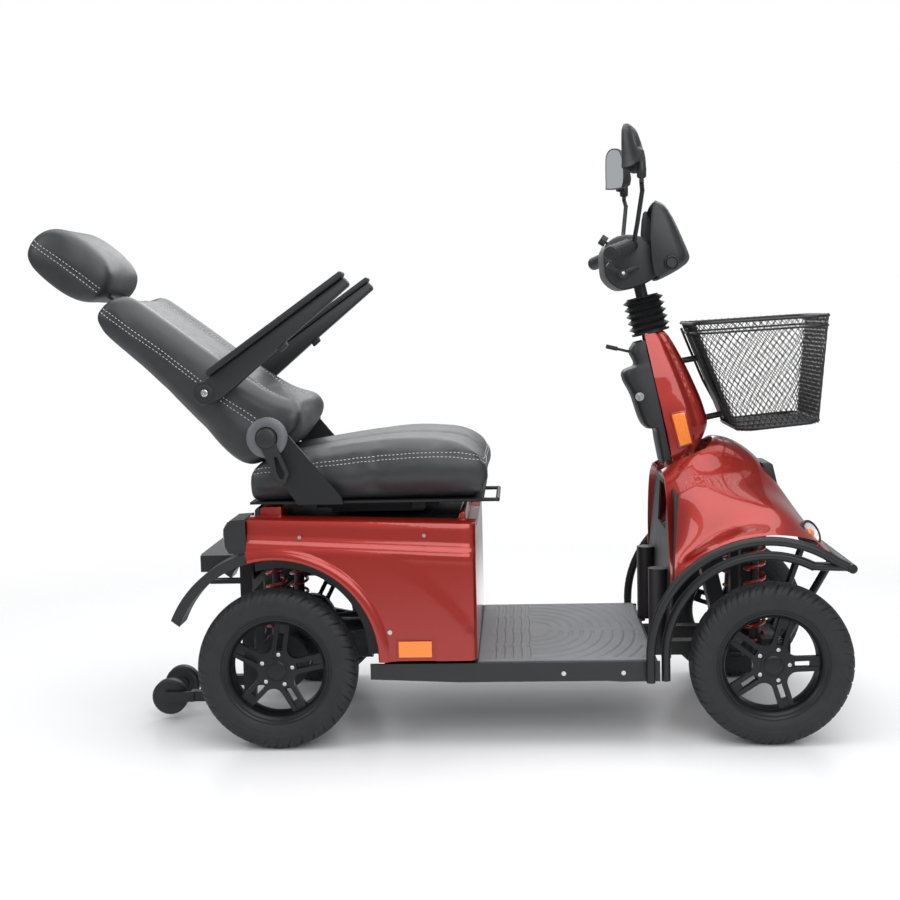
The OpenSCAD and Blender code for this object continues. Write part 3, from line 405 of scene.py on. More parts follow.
BAR_EDGE = 16.5
FILLET = 21
STAR_R = 101.5
star = turned(
    "star", [(0, -25), (34, -25), (46, -24), (60, -22), (104, -16), (104, -5), (60, -9), (0, -9)], steps=100
)
half_gap = math.radians(180 / SPOKES)
fillet_at = (BAR_EDGE + FILLET) / math.sin(half_gap)
arc = [
    (
        fillet_at + FILLET * math.cos(math.pi + t * (math.pi / 2 - half_gap)),
        FILLET * math.sin(math.pi + t * (math.pi / 2 - half_gap)),
    )
    for t in [k / 6 - 1 for k in range(13)]
]
arm_end = math.sqrt(STAR_R**2 - BAR_EDGE**2)
corner = [
    (
        arm_end * math.cos(half_gap) + BAR_EDGE * math.sin(half_gap),
        s * (arm_end * math.sin(half_gap) - BAR_EDGE * math.cos(half_gap)),
    )
    for s in (-1, 1)
]
far_arc = [(STAR_R * math.cos(a), STAR_R * math.sin(a)) for a in [half_gap * 0.72 * k / 5 for k in range(-5, 6)]]
window = [corner[0]] + far_arc + [corner[1]] + arc
for i in range(SPOKES):
    spin = Matrix.Rotation(-math.radians(360 / SPOKES * (i + 0.5)), 4, "Y")
    opening = slab("opening", window, -40, 10)
    opening.data.transform(spin)
    cut(star, opening)
    arm = Matrix.Rotation(-math.radians(360 / SPOKES * i), 4, "Y")
    slot_cut = slab("slot_cut", [(48, -5.5), (80, -5.5), (80, 5.5), (48, 5.5)], -40, 10)
    slot_cut.data.transform(arm)
    cut(star, slot_cut)
    channel = slab("channel", [(44, -6.5), (99, -6.5), (99, 6.5), (44, 6.5)], -40, -15)
    channel.data.transform(arm)
    cut(star, channel)
apply(star, "BEVEL", width=1.5, segments=2, limit_method="ANGLE", angle_limit=0.7)
barrel = turned(
    "barrel",
    [(121, -30), (121.3, -33.5), (118.8, -34), (116.5, -33), (114, -30.5), (110.5, -30), (107.5, -27), (104.5, -24)]
    + [(102, -16), (101, 0), (101, 24), (104, 30), (118, 34), (121, 33), (121, 29), (107, 25), (105, 0)]
    + [(107, -22), (112, -27), (121, -30)],
    steps=128,
)
cap = turned("cap", [(0, -28.5), (13, -28.6), (17.5, -28), (20.5, -26.4), (21.3, -24), (21.3, -22), (0, -22)])
ring = turned("ring", [(24, -24), (24, -26), (25.5, -26.4), (27, -26), (27.4, -24)])
hub = turned("hub", [(30, -9.5), (30, 6), (12.3, 6), (12.3, -9.5), (30, -9.5)])
alloy_wheel = join(barrel, star, cap, ring, hub)
screw = turned(
    "screw",
    [(0, -25.8), (2.2, -25.8), (2.3, -28), (3.6, -28), (4.4, -27.4), (4.7, -26.4), (4.7, -23), (0, -23)],
    steps=24,
)
screw.data.transform(Matrix.Translation((35, 0, 0)))
cap_screws = join(screw, *[copy_of(screw, "more") for _ in range(SPOKES - 1)])
screw_size = len(cap_screws.data.vertices) // SPOKES
for k, vertex in enumerate(cap_screws.data.vertices):
    vertex.co = Matrix.Rotation(-math.radians(360 / SPOKES * (k // screw_size)), 3, "Y") @ vertex.co
for key, (x, side, phase) in WHEELS.items():
    turn = (
        Matrix.Translation((x, side * TRACK, TYRE_R))
        @ Matrix.Rotation(0 if side < 0 else math.pi, 4, "Z")
        @ Matrix.Rotation(-math.radians(phase), 4, "Y")
    )
    wheel = copy_of(alloy_wheel, "alloy_wheel_" + key)
    put(wheel, "wheel_" + key, alloy, "rim", "rim_" + key, turn=turn)
    put(copy_of(cap_screws, "cap_screws_" + key), "wheel_" + key, bright, "bright", turn=turn)
bpy.data.objects.remove(alloy_wheel)
bpy.data.objects.remove(cap_screws)


# ---------------------------------------------------------------- rear body
# A vacuum-formed shell in copper-red metallic under clear coat. Its sides stand on a rounded hip,
# with a flat band above, and a rolled flare runs round each wheel arch.
ARCH = (0, 195)
HALF = 314

# Metallic paint glitters with flake under a clear coat that has a slight orange peel.
paint = finish("copper_red_metallic", "98180a", 0.34, Metallic=0.5, Coat_Weight=0.8, Coat_Roughness=0.03)
where = add(paint, "TexCoord").outputs["Object"]
# Real flake is some 0.05 mm across, and is drawn at 0.8 mm so that it shows.
flake = add(paint, "TexVoronoi", {"Vector": where, "Scale": 1250.0}).outputs["Color"]
value = add(paint, "SeparateColor", {"Color": flake}).outputs["Red"]
soft = add(paint, "MapRange", {"Value": value, "To Min": 0.3, "To Max": 0.7}).outputs["Result"]
two_tone(paint, soft, "8a160b", "a92010")
peel = add(paint, "TexNoise", {"Vector": where, "Scale": 55.0, "Detail": 1.0}).outputs["Fac"]
ripple = add(paint, "Bump", {"Height": peel, "Strength": 0.05, "Distance": 0.002}).outputs[0]
paint.node_tree.links.new(ripple, paint.node_tree.nodes["Principled BSDF"].inputs["Coat Normal"])


def loft(name, rings, caps=(False, False)):
    """Joins rings of equally many points with faces, and closes the ends if asked."""
    n = len(rings[0])
    faces = [
        (i * n + j, (i + 1) * n + j, (i + 1) * n + j + 1, i * n + j + 1)
        for i in range(len(rings) - 1)
        for j in range(n - 1)
    ]
    if caps[0]:
        faces.append(tuple(range(n)))
    if caps[1]:
        faces.append(tuple(reversed(range((len(rings) - 1) * n, len(rings) * n))))
    piece = shape(name, [p for r in rings for p in r], faces)
    tidy(piece)
    return piece


def mirror_ring(points):
    """A half ring from the middle out, as the whole ring from right to left."""
    return [(x, -y, z) for x, y, z in reversed(points)] + [(x, y, z) for x, y, z in points if y > 0.01]


def body_section(x):
    """Half of the rear body's section at a station, from the recess's flange down to the floor line."""
    rim = 509.5 - 0.0335 * (x + 58)
    hip = 466 - 0.055 * x
    corner = 22
    inset = corner - math.sqrt(max(corner**2 - max(x - 440 + corner, 0) ** 2, 0))
    lines = [(231, 474), (231, rim - 3), (234, rim), (286, rim - 1.5), (291, rim - 3.5), (293, rim - 8)]
    lines += [(294.5, rim - 20), (295.5, hip + 8), (297, hip), (301, hip - 6), (306, hip - 10), (310, hip - 15)]
    lines += [(312.8, hip - 23), (HALF, hip - 34)]
    lines += [(HALF, hip - 34 - (hip - 34 - 194) * k / 24) for k in range(1, 25)]
    ring = []
    for y, z in lines:
        crease = 0
        if y == HALF:
            arc_z = 433 - 0.0026 * max(x - 170, 0) ** 2
            crease = 2.2 * min(max((z - arc_z) / 14 + 0.5, 0), 1) if x > 150 else 0
        ring.append((x, y - (inset if y > 240 else 0) - crease, z))
    return ring


stations = [-58, -52, -40] + [k * 10 - 30 for k in range(45)] + [424, 429, 433, 436, 438.4, 439.6, 440]
rings = [[(x, -y, z) for x, y, z in reversed(body_section(x))] + body_section(x) for x in sorted(stations)]
rear_body = loft("rear_body", rings, caps=(True, True))
apply(rear_body, "SOLIDIFY", thickness=4, offset=-1, use_even_offset=True)
arch_cut = turned("arch_cut", [(0, -400), (225, -400), (225, 400), (0, 400)], steps=144)
arch_cut.data.transform(Matrix.Translation((ARCH[0], 0, ARCH[1])))
cut(rear_body, arch_cut)
for lo, hi in [
    ((-80, -400, 100), (214, 400, 196)),
    ((-80, -200, 100), (-40, 200, 486)),
    ((-30, -231, 440), (418, 231, 560)),
    ((263, -330, 180), (349, -310.5, 245)),
    ((263, 310.5, 180), (349, 330, 245)),
]:
    cut(rear_body, slab("box_cut", [(lo[0], lo[2]), (hi[0], lo[2]), (hi[0], hi[2]), (lo[0], hi[2])], lo[1], hi[1]))
put(rear_body, "chassis", paint, "paint", "rear_shroud", edge=28)


def sweep_arc(name, profile, start, stop, steps):
    """Sweeps a closed profile of (radius, y) points round the arch between two angles."""
    rings = []
    for k in range(steps + 1):
        angle = math.radians(start + (stop - start) * k / steps)
        ring = [(ARCH[0] + r * math.cos(angle), y, ARCH[1] + r * math.sin(angle)) for r, y in profile]
        rings.append(ring + ring[:1])
    return loft(name, rings, caps=(True, True))


lip = smooth(
    [(252, -312), (249, -315), (243, -319.5), (236, -321.8), (230, -321.6), (226, -319), (224.6, -314)]
    + [(224.6, -306), (227.5, -305), (229.5, -310), (238, -311)],
    3,
    closed=True,
)
for side, word in ((1, "right"), (-1, "left")):
    flare = sweep_arc("arch_flare_" + word, lip, -0.4, 104, 72)
    flare.data.transform(Matrix.Scale(side, 4, (0, 1, 0)))
    tidy(flare)
    put(flare, "chassis", paint, "paint")


# ---------------------------------------------------------------- seat hood
# A painted lid between the seat's swivel and the body, with a raised lip in front and behind, over a
# black moulded well, and a black end cap.
plastic = finish("moulded_black_plastic", "1e1f21", 0.44)
where = add(plastic, "TexCoord").outputs["Object"]
# Spark-eroded mould grain, 0.9 mm across.
spark = add(plastic, "TexVoronoi", {"Vector": where, "Scale": 1100.0}, feature="SMOOTH_F1").outputs["Distance"]
feed(plastic, "Normal", add(plastic, "Bump", {"Height": spark, "Strength": 0.14, "Distance": 0.0005}).outputs[0])
cloud = add(plastic, "TexNoise", {"Vector": where, "Scale": 14.0, "Detail": 3.0}).outputs["Fac"]
gloss = add(plastic, "MapRange", {"Value": cloud, "To Min": 0.38, "To Max": 0.52}).outputs["Result"]
feed(plastic, "Roughness", gloss)

ridge_top = (TO_ROW.inverted() @ Vector(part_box("seat_hood")[1])).z
HOOD_HALF = 229
HOOD_FOOT = 474
rear_lip = [(-40, HOOD_FOOT), (-40, ridge_top - 4), (-33, ridge_top), (6, ridge_top), (8, ridge_top - 2)]
rear_lip += [(8, HOOD_FOOT)]
front_lip = [(396, HOOD_FOOT), (403, 503), (409, 508.5), (414, 509), (417, 505), (418, HOOD_FOOT)]
side_rail = [(0, HOOD_FOOT), (0, 493), (404, 493), (404, HOOD_FOOT)]
hood = join(
    slab("hood_lid", rear_lip, -HOOD_HALF, HOOD_HALF, 4),
    slab("hood_front", front_lip, -HOOD_HALF, HOOD_HALF, 3),
    slab("hood_rail", side_rail, -HOOD_HALF, -224, 1),
    slab("hood_rail_left", side_rail, 224, HOOD_HALF, 1),
)
put(hood, "chassis", paint, "paint", "seat_hood")
well = slab("hood_well", [(6, 480), (6, 491), (400, 491), (400, 480)], -223, 223, 1)
well_hole = turned("well_hole", [(0, 400), (74, 400), (74, 600), (0, 600)], axis="Z")
well_hole.data.transform(Matrix.Translation((215, 0, 0)))
cut(well, well_hole)
put(well, "chassis", plastic, "black_plastic")
cap_outline = [(-52, HOOD_FOOT), (-52, ridge_top - 7), (-46, ridge_top - 1), (-40.5, ridge_top)]
cap_outline += [(-40.5, HOOD_FOOT)]
end_cap = slab("hood_end_cap", cap_outline, -HOOD_HALF, HOOD_HALF, 3)
put(end_cap, "chassis", plastic, "black_plastic")


# ---------------------------------------------------------------- front cowl
# A one-piece vacuum-formed nose in the same paint: a dome round the tiller's foot, a crease that runs
# out to a crest, and a fender under it cut round the wheel. A well of black plastic closes its foot.
COWL = {
    862: [(0, 580), (60, 580), (86, 578), (110, 575), (150, 568), (196, 550), (232, 500), (250, 440)]
    + [(258, 400), (266, 380), (270, 360), (271, 330), (271, 296)],
    900: [(0, 606), (60, 604), (86, 600), (106, 580), (140, 552), (172, 512), (200, 460), (216, 400)]
    + [(228, 392), (250, 404), (272, 416), (286, 402), (289, 360)],
    950: [(0, 664), (58, 661), (84, 650), (98, 604), (112, 574), (145, 556), (182, 516), (215, 462)]
    + [(227, 434), (248, 436), (274, 448), (289, 430), (291, 380)],
    1000: [(0, 664), (56, 661), (82, 646), (98, 603), (112, 570), (148, 552), (188, 527), (215, 492)]
    + [(227, 462), (248, 460), (274, 464), (290, 444), (292, 380)],
    1050: [(0, 637), (54, 634), (80, 620), (96, 582), (112, 554), (148, 542), (188, 528), (215, 508)]
    + [(227, 482), (248, 472), (274, 463), (290, 440), (292, 380)],
    1100: [(0, 600), (54, 597), (76, 586), (94, 558), (112, 541), (148, 531), (188, 521), (215, 503)]
    + [(227, 480), (248, 464), (274, 449), (289, 428), (291, 380)],
    1126: [(0, 558), (54, 555), (74, 549), (92, 535), (110, 524), (148, 514), (186, 505), (213, 490)]
    + [(225, 472), (246, 453), (272, 436), (286, 414), (288, 370)],
    1152: [(0, 503), (54, 501), (74, 498), (92, 494), (110, 490), (148, 483), (184, 476), (210, 464)]
    + [(221, 452), (242, 436), (266, 420), (279, 400), (280, 366)],
    1188: [(0, 452), (54, 451), (74, 449), (92, 447), (110, 444), (148, 438), (180, 432), (205, 422)]
    + [(216, 414), (236, 404), (256, 394), (266, 380), (267, 362)],
    1226: [(0, 409), (54, 408), (74, 407), (92, 406), (110, 404), (146, 401), (174, 397), (194, 391)]
    + [(204, 386), (218, 380), (230, 374), (236, 368), (237, 360)],
}

lines = [smooth([(x, *COWL[x][k]) for x in sorted(COWL)], 5) for k in range(13)]
rings = [smooth([line[i] for line in lines], 4) for i in range(len(lines[0]))]


def relaxed(row):
    """A row of points with all but its ends drawn towards their neighbours."""
    return [row[0]] + [a * 0.25 + b * 0.5 + c * 0.25 for a, b, c in zip(row, row[1:], row[2:])] + [row[-1]]


# The sheet is drawn smooth first from station to station, and then from its middle to its edge.
for _ in range(60):
    rings = [list(ring) for ring in zip(*[relaxed(row) for row in zip(*rings)])]
for _ in range(24):
    rings = [relaxed(half) for half in rings]
rings = [mirror_ring(half) for half in rings]
cowl = loft("front_nose", rings)
apply(cowl, "SOLIDIFY", thickness=3.5, offset=-1)
wheel_cut = join(
    turned("wheel_cut", [(0, -400), (274, -400), (274, -196), (0, -196)], steps=144),
    turned("wheel_cut_left", [(0, 400), (274, 400), (274, 196), (0, 196)], steps=144),
)
wheel_cut.data.transform(Matrix.Translation((WHEELBASE, 0, TYRE_R)))
cut(cowl, wheel_cut)
foot_outline = [(840, -84), (930, -84), (963, -78), (979, -60), (986, -30)]
foot_outline += [(x, -y) for x, y in reversed(foot_outline)]
foot_cut = slab("foot_cut", foot_outline, 560, 720)
foot_cut.data.transform(Matrix.Rotation(math.pi / 2, 4, "X"))
cut(cowl, foot_cut)
cut(cowl, slab("lamp_cut", [(1090, 588), (1160, 588), (1160, 524), (1090, 524)], -63, 63))
put(cowl, "chassis", paint, "paint", "front_cowl", edge=40)
foot_well = slab("foot_well", [(866, 545), (866, 558), (974, 572), (974, 556)], -86, 86, 2)
put(foot_well, "chassis", plastic, "black_plastic")


# ---------------------------------------------------------------- lamps and reflectors
# A clear headlamp behind a black bezel in the dome, and two round indicators with an amber centre in
# a white dish. The prismatic reflectors on the sides are amber, and the tail lamps red.
def lens(name, colour, roughness=0.12, painted_glow=0.0):
    """A moulded acrylic lens whose back is faceted into prisms some 3 mm across, with a painted glow if one is given.
    """
    made = finish(name, colour, roughness, Coat_Weight=1.0, Coat_Roughness=0.02, IOR=1.49)
    spot = add(made, "TexCoord").outputs["Object"]
    prism = add(made, "TexVoronoi", {"Vector": spot, "Scale": 330.0}, feature="F1", distance="CHEBYCHEV")
    bump = add(made, "Bump", {"Height": prism.outputs["Distance"], "Strength": 0.6, "Distance": 0.0012})
    feed(made, "Normal", bump.outputs[0])
    # A painted glow is emission in the lens's own colour: painted light on a part that is no lit lamp.
    if painted_glow:
        made.node_tree.nodes["Principled BSDF"].inputs["Emission Color"].default_value = linear(colour)
        made.node_tree.nodes["Principled BSDF"].inputs["Emission Strength"].default_value = painted_glow
    return made


# The amber material carries a faint painted glow, emission on the side reflectors that are no lamps and on the
# indicator bulbs.
amber = lens("amber_acrylic_reflector", "e8790a", painted_glow=0.12)
red_lens = lens("red_acrylic_lens", "b81414")
clear_lens = lens("clear_acrylic_lens", "dfe2e4", 0.08)

headlamp = slab("headlamp_lens", [(1098, 582), (1116, 579), (1126, 530), (1100, 528)], -57, 57, 4)
put(headlamp, "chassis", clear_lens, "lamp", "front_lamps")
bezel = slab("headlamp_bezel", [(1094, 587), (1119, 585), (1133, 526), (1098, 522)], -62.5, 62.5, 5)
cut(bezel, slab("bezel_cut", [(1080, 580), (1150, 577), (1150, 533), (1080, 531)], -56, 56, 3))
put(bezel, "chassis", plastic, "black_plastic")
for side, word in ((1, "left"), (-1, "right")):
    pod = Matrix.Translation((1168, 168 * side, 432)) @ Matrix.Rotation(math.radians(42 * side), 4, "Z")
    pod = pod @ Matrix.Rotation(math.radians(62), 4, "Y")
    rim_profile = [(24, 6), (24.5, 22), (26.5, 25), (30, 24), (31.5, 19), (31.5, 4), (26, 2), (24, 6)]
    put(turned("indicator_bezel_" + word, rim_profile, axis="Z"), "chassis", plastic, "black_plastic", turn=pod)
    dish_profile = [(0, 14), (10, 14.5), (18, 17.5), (24, 22.5), (24.6, 20), (18, 12), (0, 10)]
    put(turned("indicator_dish_" + word, dish_profile, axis="Z"), "chassis", clear_lens, "lamp", turn=pod)
    bulb_profile = [(0, 26), (5, 25.3), (8.6, 22.8), (10.4, 19), (10.6, 14.2), (0, 14.2)]
    put(turned("indicator_bulb_" + word, bulb_profile, axis="Z"), "chassis", amber, "reflector", turn=pod)


# ---------------------------------------------------------------- tiller covers
# The steering tiller's front half is painted, with a flute down each side and an amber reflector at
# its foot. Its rear half is moulded black plastic and carries the key.
COLUMN = Matrix.Translation((925, 0, 560)) @ Matrix.Rotation(math.radians(-13), 4, "Y")


def half_cover(name, levels, power=0.62, flute=0.0):
    """A shell lofted up the column through levels of (height, split, nose, half width)."""
    heights = [level[0] for level in levels]
    curve = smooth([(level[1], level[2], level[3]) for level in levels], 6)
    tall = smooth([(height, 0, 0) for height in heights], 6)
    rings = []
    for (split, nose, half), high in zip(curve, tall):
        ring = []
        for k in range(-16, 17):
            angle = math.pi / 2 * k / 16
            y = half * math.copysign(abs(math.sin(angle)) ** power, angle) if k else 0
            x = split + (nose - split) * math.cos(angle) ** power
            dent = flute * math.exp(-(((abs(k) - 9.5) / 1.6) ** 2))
            ring.append((x - dent * math.copysign(1, nose - split), y * (1 - dent / 90), high[0]))
        rings.append(ring)
    piece = loft(name, rings)
    apply(piece, "SOLIDIFY", thickness=3, offset=-1)
    return piece


front_levels = [(40, -26, 26, 60), (56, -25, 40, 64), (80, -24, 62, 67), (108, -23, 77, 69), (140, -23, 77, 68)]
front_levels += [(169, -22, 74, 66), (208, -22, 67, 62), (246, -21, 59, 58), (288, -20, 48, 52), (325, -19, 36, 46)]
front_levels += [(341, -17, 24, 42)]
front_cover = half_cover("tiller_front_shell", front_levels, 0.6, 5)
put(front_cover, "tiller", paint, "paint", "tiller_cover_front", turn=COLUMN, edge=40)
rear_levels = [(44, -28, -52, 56), (90, -27, -50, 60), (121, -26, -49, 62), (128, -26, -66, 62), (151, -25, -75, 62)]
rear_levels += [(207, -24, -80, 59), (249, -23, -90, 55), (268, -23, -84, 53), (276, -23, -56, 51)]
rear_levels += [(307, -22, -60, 48), (326, -20, -45, 44)]
rear_cover = half_cover("tiller_rear_shell", rear_levels, 0.5)
put(rear_cover, "tiller", plastic, "black_plastic", "tiller_cover_rear", turn=COLUMN, edge=40)
for side, word in ((1, "left"), (-1, "right")):
    for name, out, thick, made, slot_name in (
        ("tiller_reflector_", -1, 72.5, amber, "reflector"),
        ("tiller_reflector_frame_", 3.5, 71, paint, "paint"),
    ):
        outline = [(-5 - out, 148 + out), (27 + out, 147 + out), (27 + out, 72 - out), (-3 - out, 70 - out)]
        plate = slab(name + word, outline, side * 56, side * thick, 2)
        put(plate, "tiller", made, slot_name, turn=COLUMN)

# Moulded soft rubber has a faint bloom on it.
rubber_soft = finish("soft_black_rubber", "141517", 0.5, Specular_IOR_Level=0.5)
where = add(rubber_soft, "TexCoord").outputs["Object"]
bloom = add(rubber_soft, "TexNoise", {"Vector": where, "Scale": 60.0, "Detail": 4.0}).outputs["Fac"]
two_tone(rubber_soft, bloom, "111214", "1d1e20")
mould = add(rubber_soft, "TexNoise", {"Vector": where, "Scale": 1300.0}).outputs["Fac"]
skin = add(rubber_soft, "Bump", {"Height": mould, "Strength": 0.1, "Distance": 0.0004}).outputs[0]
feed(rubber_soft, "Normal", skin)
folds = [(30, 338), (42, 338), (44, 341), (38, 344)]
for k in range(5):
    folds += [(37, 346 + 15.6 * k), (46.5, 352.6 + 15.6 * k), (48, 353.6 + 15.6 * k), (46.5, 354.6 + 15.6 * k)]
folds += [(37, 422), (36, 425), (30, 425), (30, 338)]
put(turned("tiller_bellows", folds, 72, axis="Z"), "tiller", rubber_soft, "grip", "bellows", turn=COLUMN, edge=24)


# ---------------------------------------------------------------- steering head
# A black moulded housing over the handlebar with a cupped hood in front of it, both in fine-grained
# plastic. The hood has a closed cheek at each side.
head_sides = [(737, 1080), (736, 1040), (742, 1014), (765, 992), (790, 989), (828, 1001), (852, 1018), (856, 1040)]
head_sides += [(850, 1082), (826, 1104), (790, 1112), (756, 1104)]
housing = slab("head_shell", smooth(head_sides, 3, closed=True), -104, 104, 9, 4)
put(housing, "steering_head", plastic, "black_plastic", "head_housing", edge=50)
hood_half = (TO_ROW.inverted() @ Vector(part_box("head_cowl")[1])).y
visor_rings = []
for share in [k / 14 - 1 for k in range(29)]:
    pull = abs(share) ** 3.2
    outer = [(857, 1190), (874, 1181), (890, 1160), (907, 1127), (922, 1093), (934, 1063), (931, 1050), (922, 1041)]
    outer += [(900, 1027), (876, 1015), (862, 1009)]
    y = hood_half * math.copysign(min(abs(share) * 1.12, 1 - (1 - abs(share)) * 0.25), share) if share else 0
    ring = [(x - (x - 850) * 0.42 * pull, y, z - (z - 1090) * 0.2 * pull) for x, z in outer]
    visor_rings.append(smooth(ring, 3))
visor = loft("head_hood", visor_rings)
apply(visor, "SOLIDIFY", thickness=4, offset=-1)
for side in (-1, 1):
    cheek = [(845, 1174), (866, 1166), (886, 1120), (902, 1064), (896, 1045), (862, 1020), (846, 1024), (838, 1100)]
    cheek = smooth(cheek, 3, closed=True)
    visor = join(visor, slab("cheek", cheek, side * (hood_half - 4), side * (hood_half - 0.4), 1.4))
put(visor, "steering_head", plastic, "black_plastic", "head_cowl", edge=45)


# ---------------------------------------------------------------- rest of the machine's finishes
# CAD pieces that already have their real shape take the finish of what they are made of.
# Powder coat shows a fine orange peel, and is worn a little glossier in places.
steel = finish("powder_coated_steel", "17181a", 0.42, Metallic=0.1)
where = add(steel, "TexCoord").outputs["Object"]
orange = add(steel, "TexNoise", {"Vector": where, "Scale": 420.0, "Detail": 2.0}).outputs["Fac"]
feed(steel, "Normal", add(steel, "Bump", {"Height": orange, "Strength": 0.12, "Distance": 0.0006}).outputs[0])
handled = add(steel, "TexNoise", {"Vector": where, "Scale": 9.0, "Detail": 3.0}).outputs["Fac"]
feed(steel, "Roughness", add(steel, "MapRange", {"Value": handled, "To Min": 0.34, "To Max": 0.5}).outputs["Result"])
# Cast aluminium keeps the grain of its sand mould.
casting = finish("sand_cast_aluminium", "3a3c3f", 0.5, Metallic=0.6)
where = add(casting, "TexCoord").outputs["Object"]
sand = add(casting, "TexNoise", {"Vector": where, "Scale": 600.0, "Detail": 5.0}).outputs["Fac"]
feed(casting, "Normal", add(casting, "Bump", {"Height": sand, "Strength": 0.4, "Distance": 0.0008}).outputs[0])
# Moulded polypropylene is plain and slightly cloudy.
battery_case = finish("battery_polypropylene", "25272a", 0.55)
where = add(battery_case, "TexCoord").outputs["Object"]
haze = add(battery_case, "TexNoise", {"Vector": where, "Scale": 20.0}).outputs["Fac"]
two_tone(battery_case, haze, "212326", "2b2d31")
# Enamel is glossy, and uneven in depth on a coiled wire.
spring_red = finish("red_enamelled_spring", "a31d14", 0.3, Coat_Weight=0.6)
where = add(spring_red, "TexCoord").outputs["Object"]
chip = add(spring_red, "TexNoise", {"Vector": where, "Scale": 90.0, "Detail": 3.0}).outputs["Fac"]
two_tone(spring_red, chip, "96170f", "b3241a")
# Matt rubber, whose scuffs and pits come with the foot mat.
mat_rubber = finish("grey_mat_rubber", "6b6d70", 0.7)
leather = finish("charcoal_leatherette", "26272a", 0.42, Specular_IOR_Level=0.55)
where = add(leather, "TexCoord").outputs["Object"]
# Embossed hide grain, 1.6 mm across.
hide = add(leather, "TexVoronoi", {"Vector": where, "Scale": 620.0}, feature="DISTANCE_TO_EDGE").outputs["Distance"]
fold = add(leather, "TexNoise", {"Vector": where, "Scale": 45.0, "Detail": 4.0}).outputs["Fac"]
wave = add(leather, "Bump", {"Height": fold, "Strength": 0.12, "Distance": 0.003}).outputs[0]
emboss = {"Height": hide, "Strength": 0.3, "Distance": 0.0007, "Normal": wave}
feed(leather, "Normal", add(leather, "Bump", emboss).outputs[0])
two_tone(leather, fold, "222326", "2e3033")
feed(leather, "Roughness", add(leather, "MapRange", {"Value": fold, "To Min": 0.36, "To Max": 0.5}).outputs["Result"])

BY_SLOT = {
    "frame": steel,
    "paint": paint,
    "black_plastic": plastic,
    "grey_rubber": mat_rubber,
    "tyre": rubber,
    "rim": alloy,
    "leather": leather,
    "grip": rubber_soft,
    "spring": spring_red,
    "red_lens": red_lens,
    "lamp": clear_lens,
    "reflector": amber,
    "bright": bright,
    "battery": battery_case,
    "casting": casting,
}
for subpart in frame["record"]["subparts"]:
    node = bpy.data.objects[subpart["node"]]
    node.data.materials.clear()
    node.data.materials.append(BY_SLOT[subpart["material_slot"]])


# ---------------------------------------------------------------- seat cushions
# Foam blocks in charcoal leatherette, blown out against their covers by a cloth simulation, then
# drawn in along their seams and double-stitched in white. The headrest stands on two steel posts.
HINGE = Matrix.Translation((-12, 0, 683))
BACK = HINGE @ Matrix.Rotation(math.radians(-50), 4, "Y")


def plump(piece, pressure, cap, frames=20):
    """Swells a piece by cloth simulation under inner pressure, and caps how far a point moves."""
    apply(piece, "REMESH", mode="VOXEL", voxel_size=6.5)
    # The simulation runs in metres, and the shape is modelled in millimetres.
    piece.data.transform(Matrix.Scale(0.001, 4))
    before = [v.co.copy() for v in piece.data.vertices]
    only(piece)
    cloth = piece.modifiers.new("cloth", "CLOTH")
    cloth.settings.quality = 4
    cloth.settings.use_pressure = True
    cloth.settings.uniform_pressure_force = pressure
    cloth.settings.effector_weights.gravity = 0
    for frame_number in range(1, frames + 1):
        scene.frame_set(frame_number)
    bpy.ops.object.modifier_apply(modifier="cloth")
    scene.frame_set(1)
    for vertex, start in zip(piece.data.vertices, before):
        move = vertex.co - start
        if move.length > cap / 1000:
            vertex.co = start + move * (cap / 1000 / move.length)
    piece.data.transform(Matrix.Scale(1000, 4))
    apply(piece, "SMOOTH", factor=0.5, iterations=28)


def densify(path, step=3):
    """Points every few millimetres along a smoothed path."""
    line = smooth(path, 12)
    out, left = [line[0]], 0.0
    for a, b in zip(line, line[1:]):
        span = (b - a).length
        while left + step <= span:
            left += step
            out.append(a.lerp(b, left / span))
        left -= span
    return out


def sew(piece, path, depth, width):
    """Draws the cover in along a seam."""
    line = densify(path)
    tree = KDTree(len(line))
    for k, point in enumerate(line):
        tree.insert(point, k)
    tree.balance()
    for vertex in piece.data.vertices:
        distance = tree.find(vertex.co)[2]
        if distance < width:
            share = 1 - distance / width
            vertex.co -= vertex.normal * depth * share * share


def stitches(name, piece, paths, away, length=5.5, pitch=9.0, thick=0.75):
    """Rows of short thread stitches laid on the cover, a little way off each side of its seams."""
    bm = bmesh.new()
    bm.from_mesh(piece.data)
    tree = BVHTree.FromBMesh(bm)
    bm.free()
    points, faces = [], []
    for path in paths:
        line = densify(path, 1.0)
        for side in ((-1, 1) if away else (0,)):
            for k in range(4, len(line) - int(length) - 2, int(pitch)):
                a, b = line[k], line[k + int(length)]
                spot, normal = tree.find_nearest((a + b) / 2)[:2]
                across = (b - a).cross(normal).normalized() * away * side
                ends = []
                for end in (a, b):
                    hit, up = tree.find_nearest(end + across)[:2]
                    ends.append(hit + up * thick * 0.4)
                along = (ends[1] - ends[0]).normalized()
                over = along.cross(normal).normalized()
                first = len(points)
                for end, swell in ((ends[0], 0.5), (ends[0].lerp(ends[1], 0.5), 1.0), (ends[1], 0.5)):
                    for c, d in ((1, 0), (0, 1), (-1, 0), (0, -1)):
                        points.append(end + (over * c + normal * d) * thick * swell)
                for r in (0, 4):
                    for q in range(4):
                        n = (q + 1) % 4
                        faces.append((first + r + q, first + r + n, first + r + 4 + n, first + r + 4 + q))
                faces += [tuple(first + q for q in (3, 2, 1, 0)), tuple(first + 8 + q for q in range(4))]
    made = shape(name, points, faces)
    bpy.ops.object.mode_set(mode="EDIT")
    bpy.ops.mesh.select_all(action="SELECT")
    bpy.ops.mesh.normals_make_consistent(inside=False)
    bpy.ops.object.mode_set(mode="OBJECT")
    return made


def both_sides(path):
    """A path round the right side and front as a whole one, mirrored to the left."""
    return path + [(x, -y, z) for x, y, z in reversed(path[:-1])]


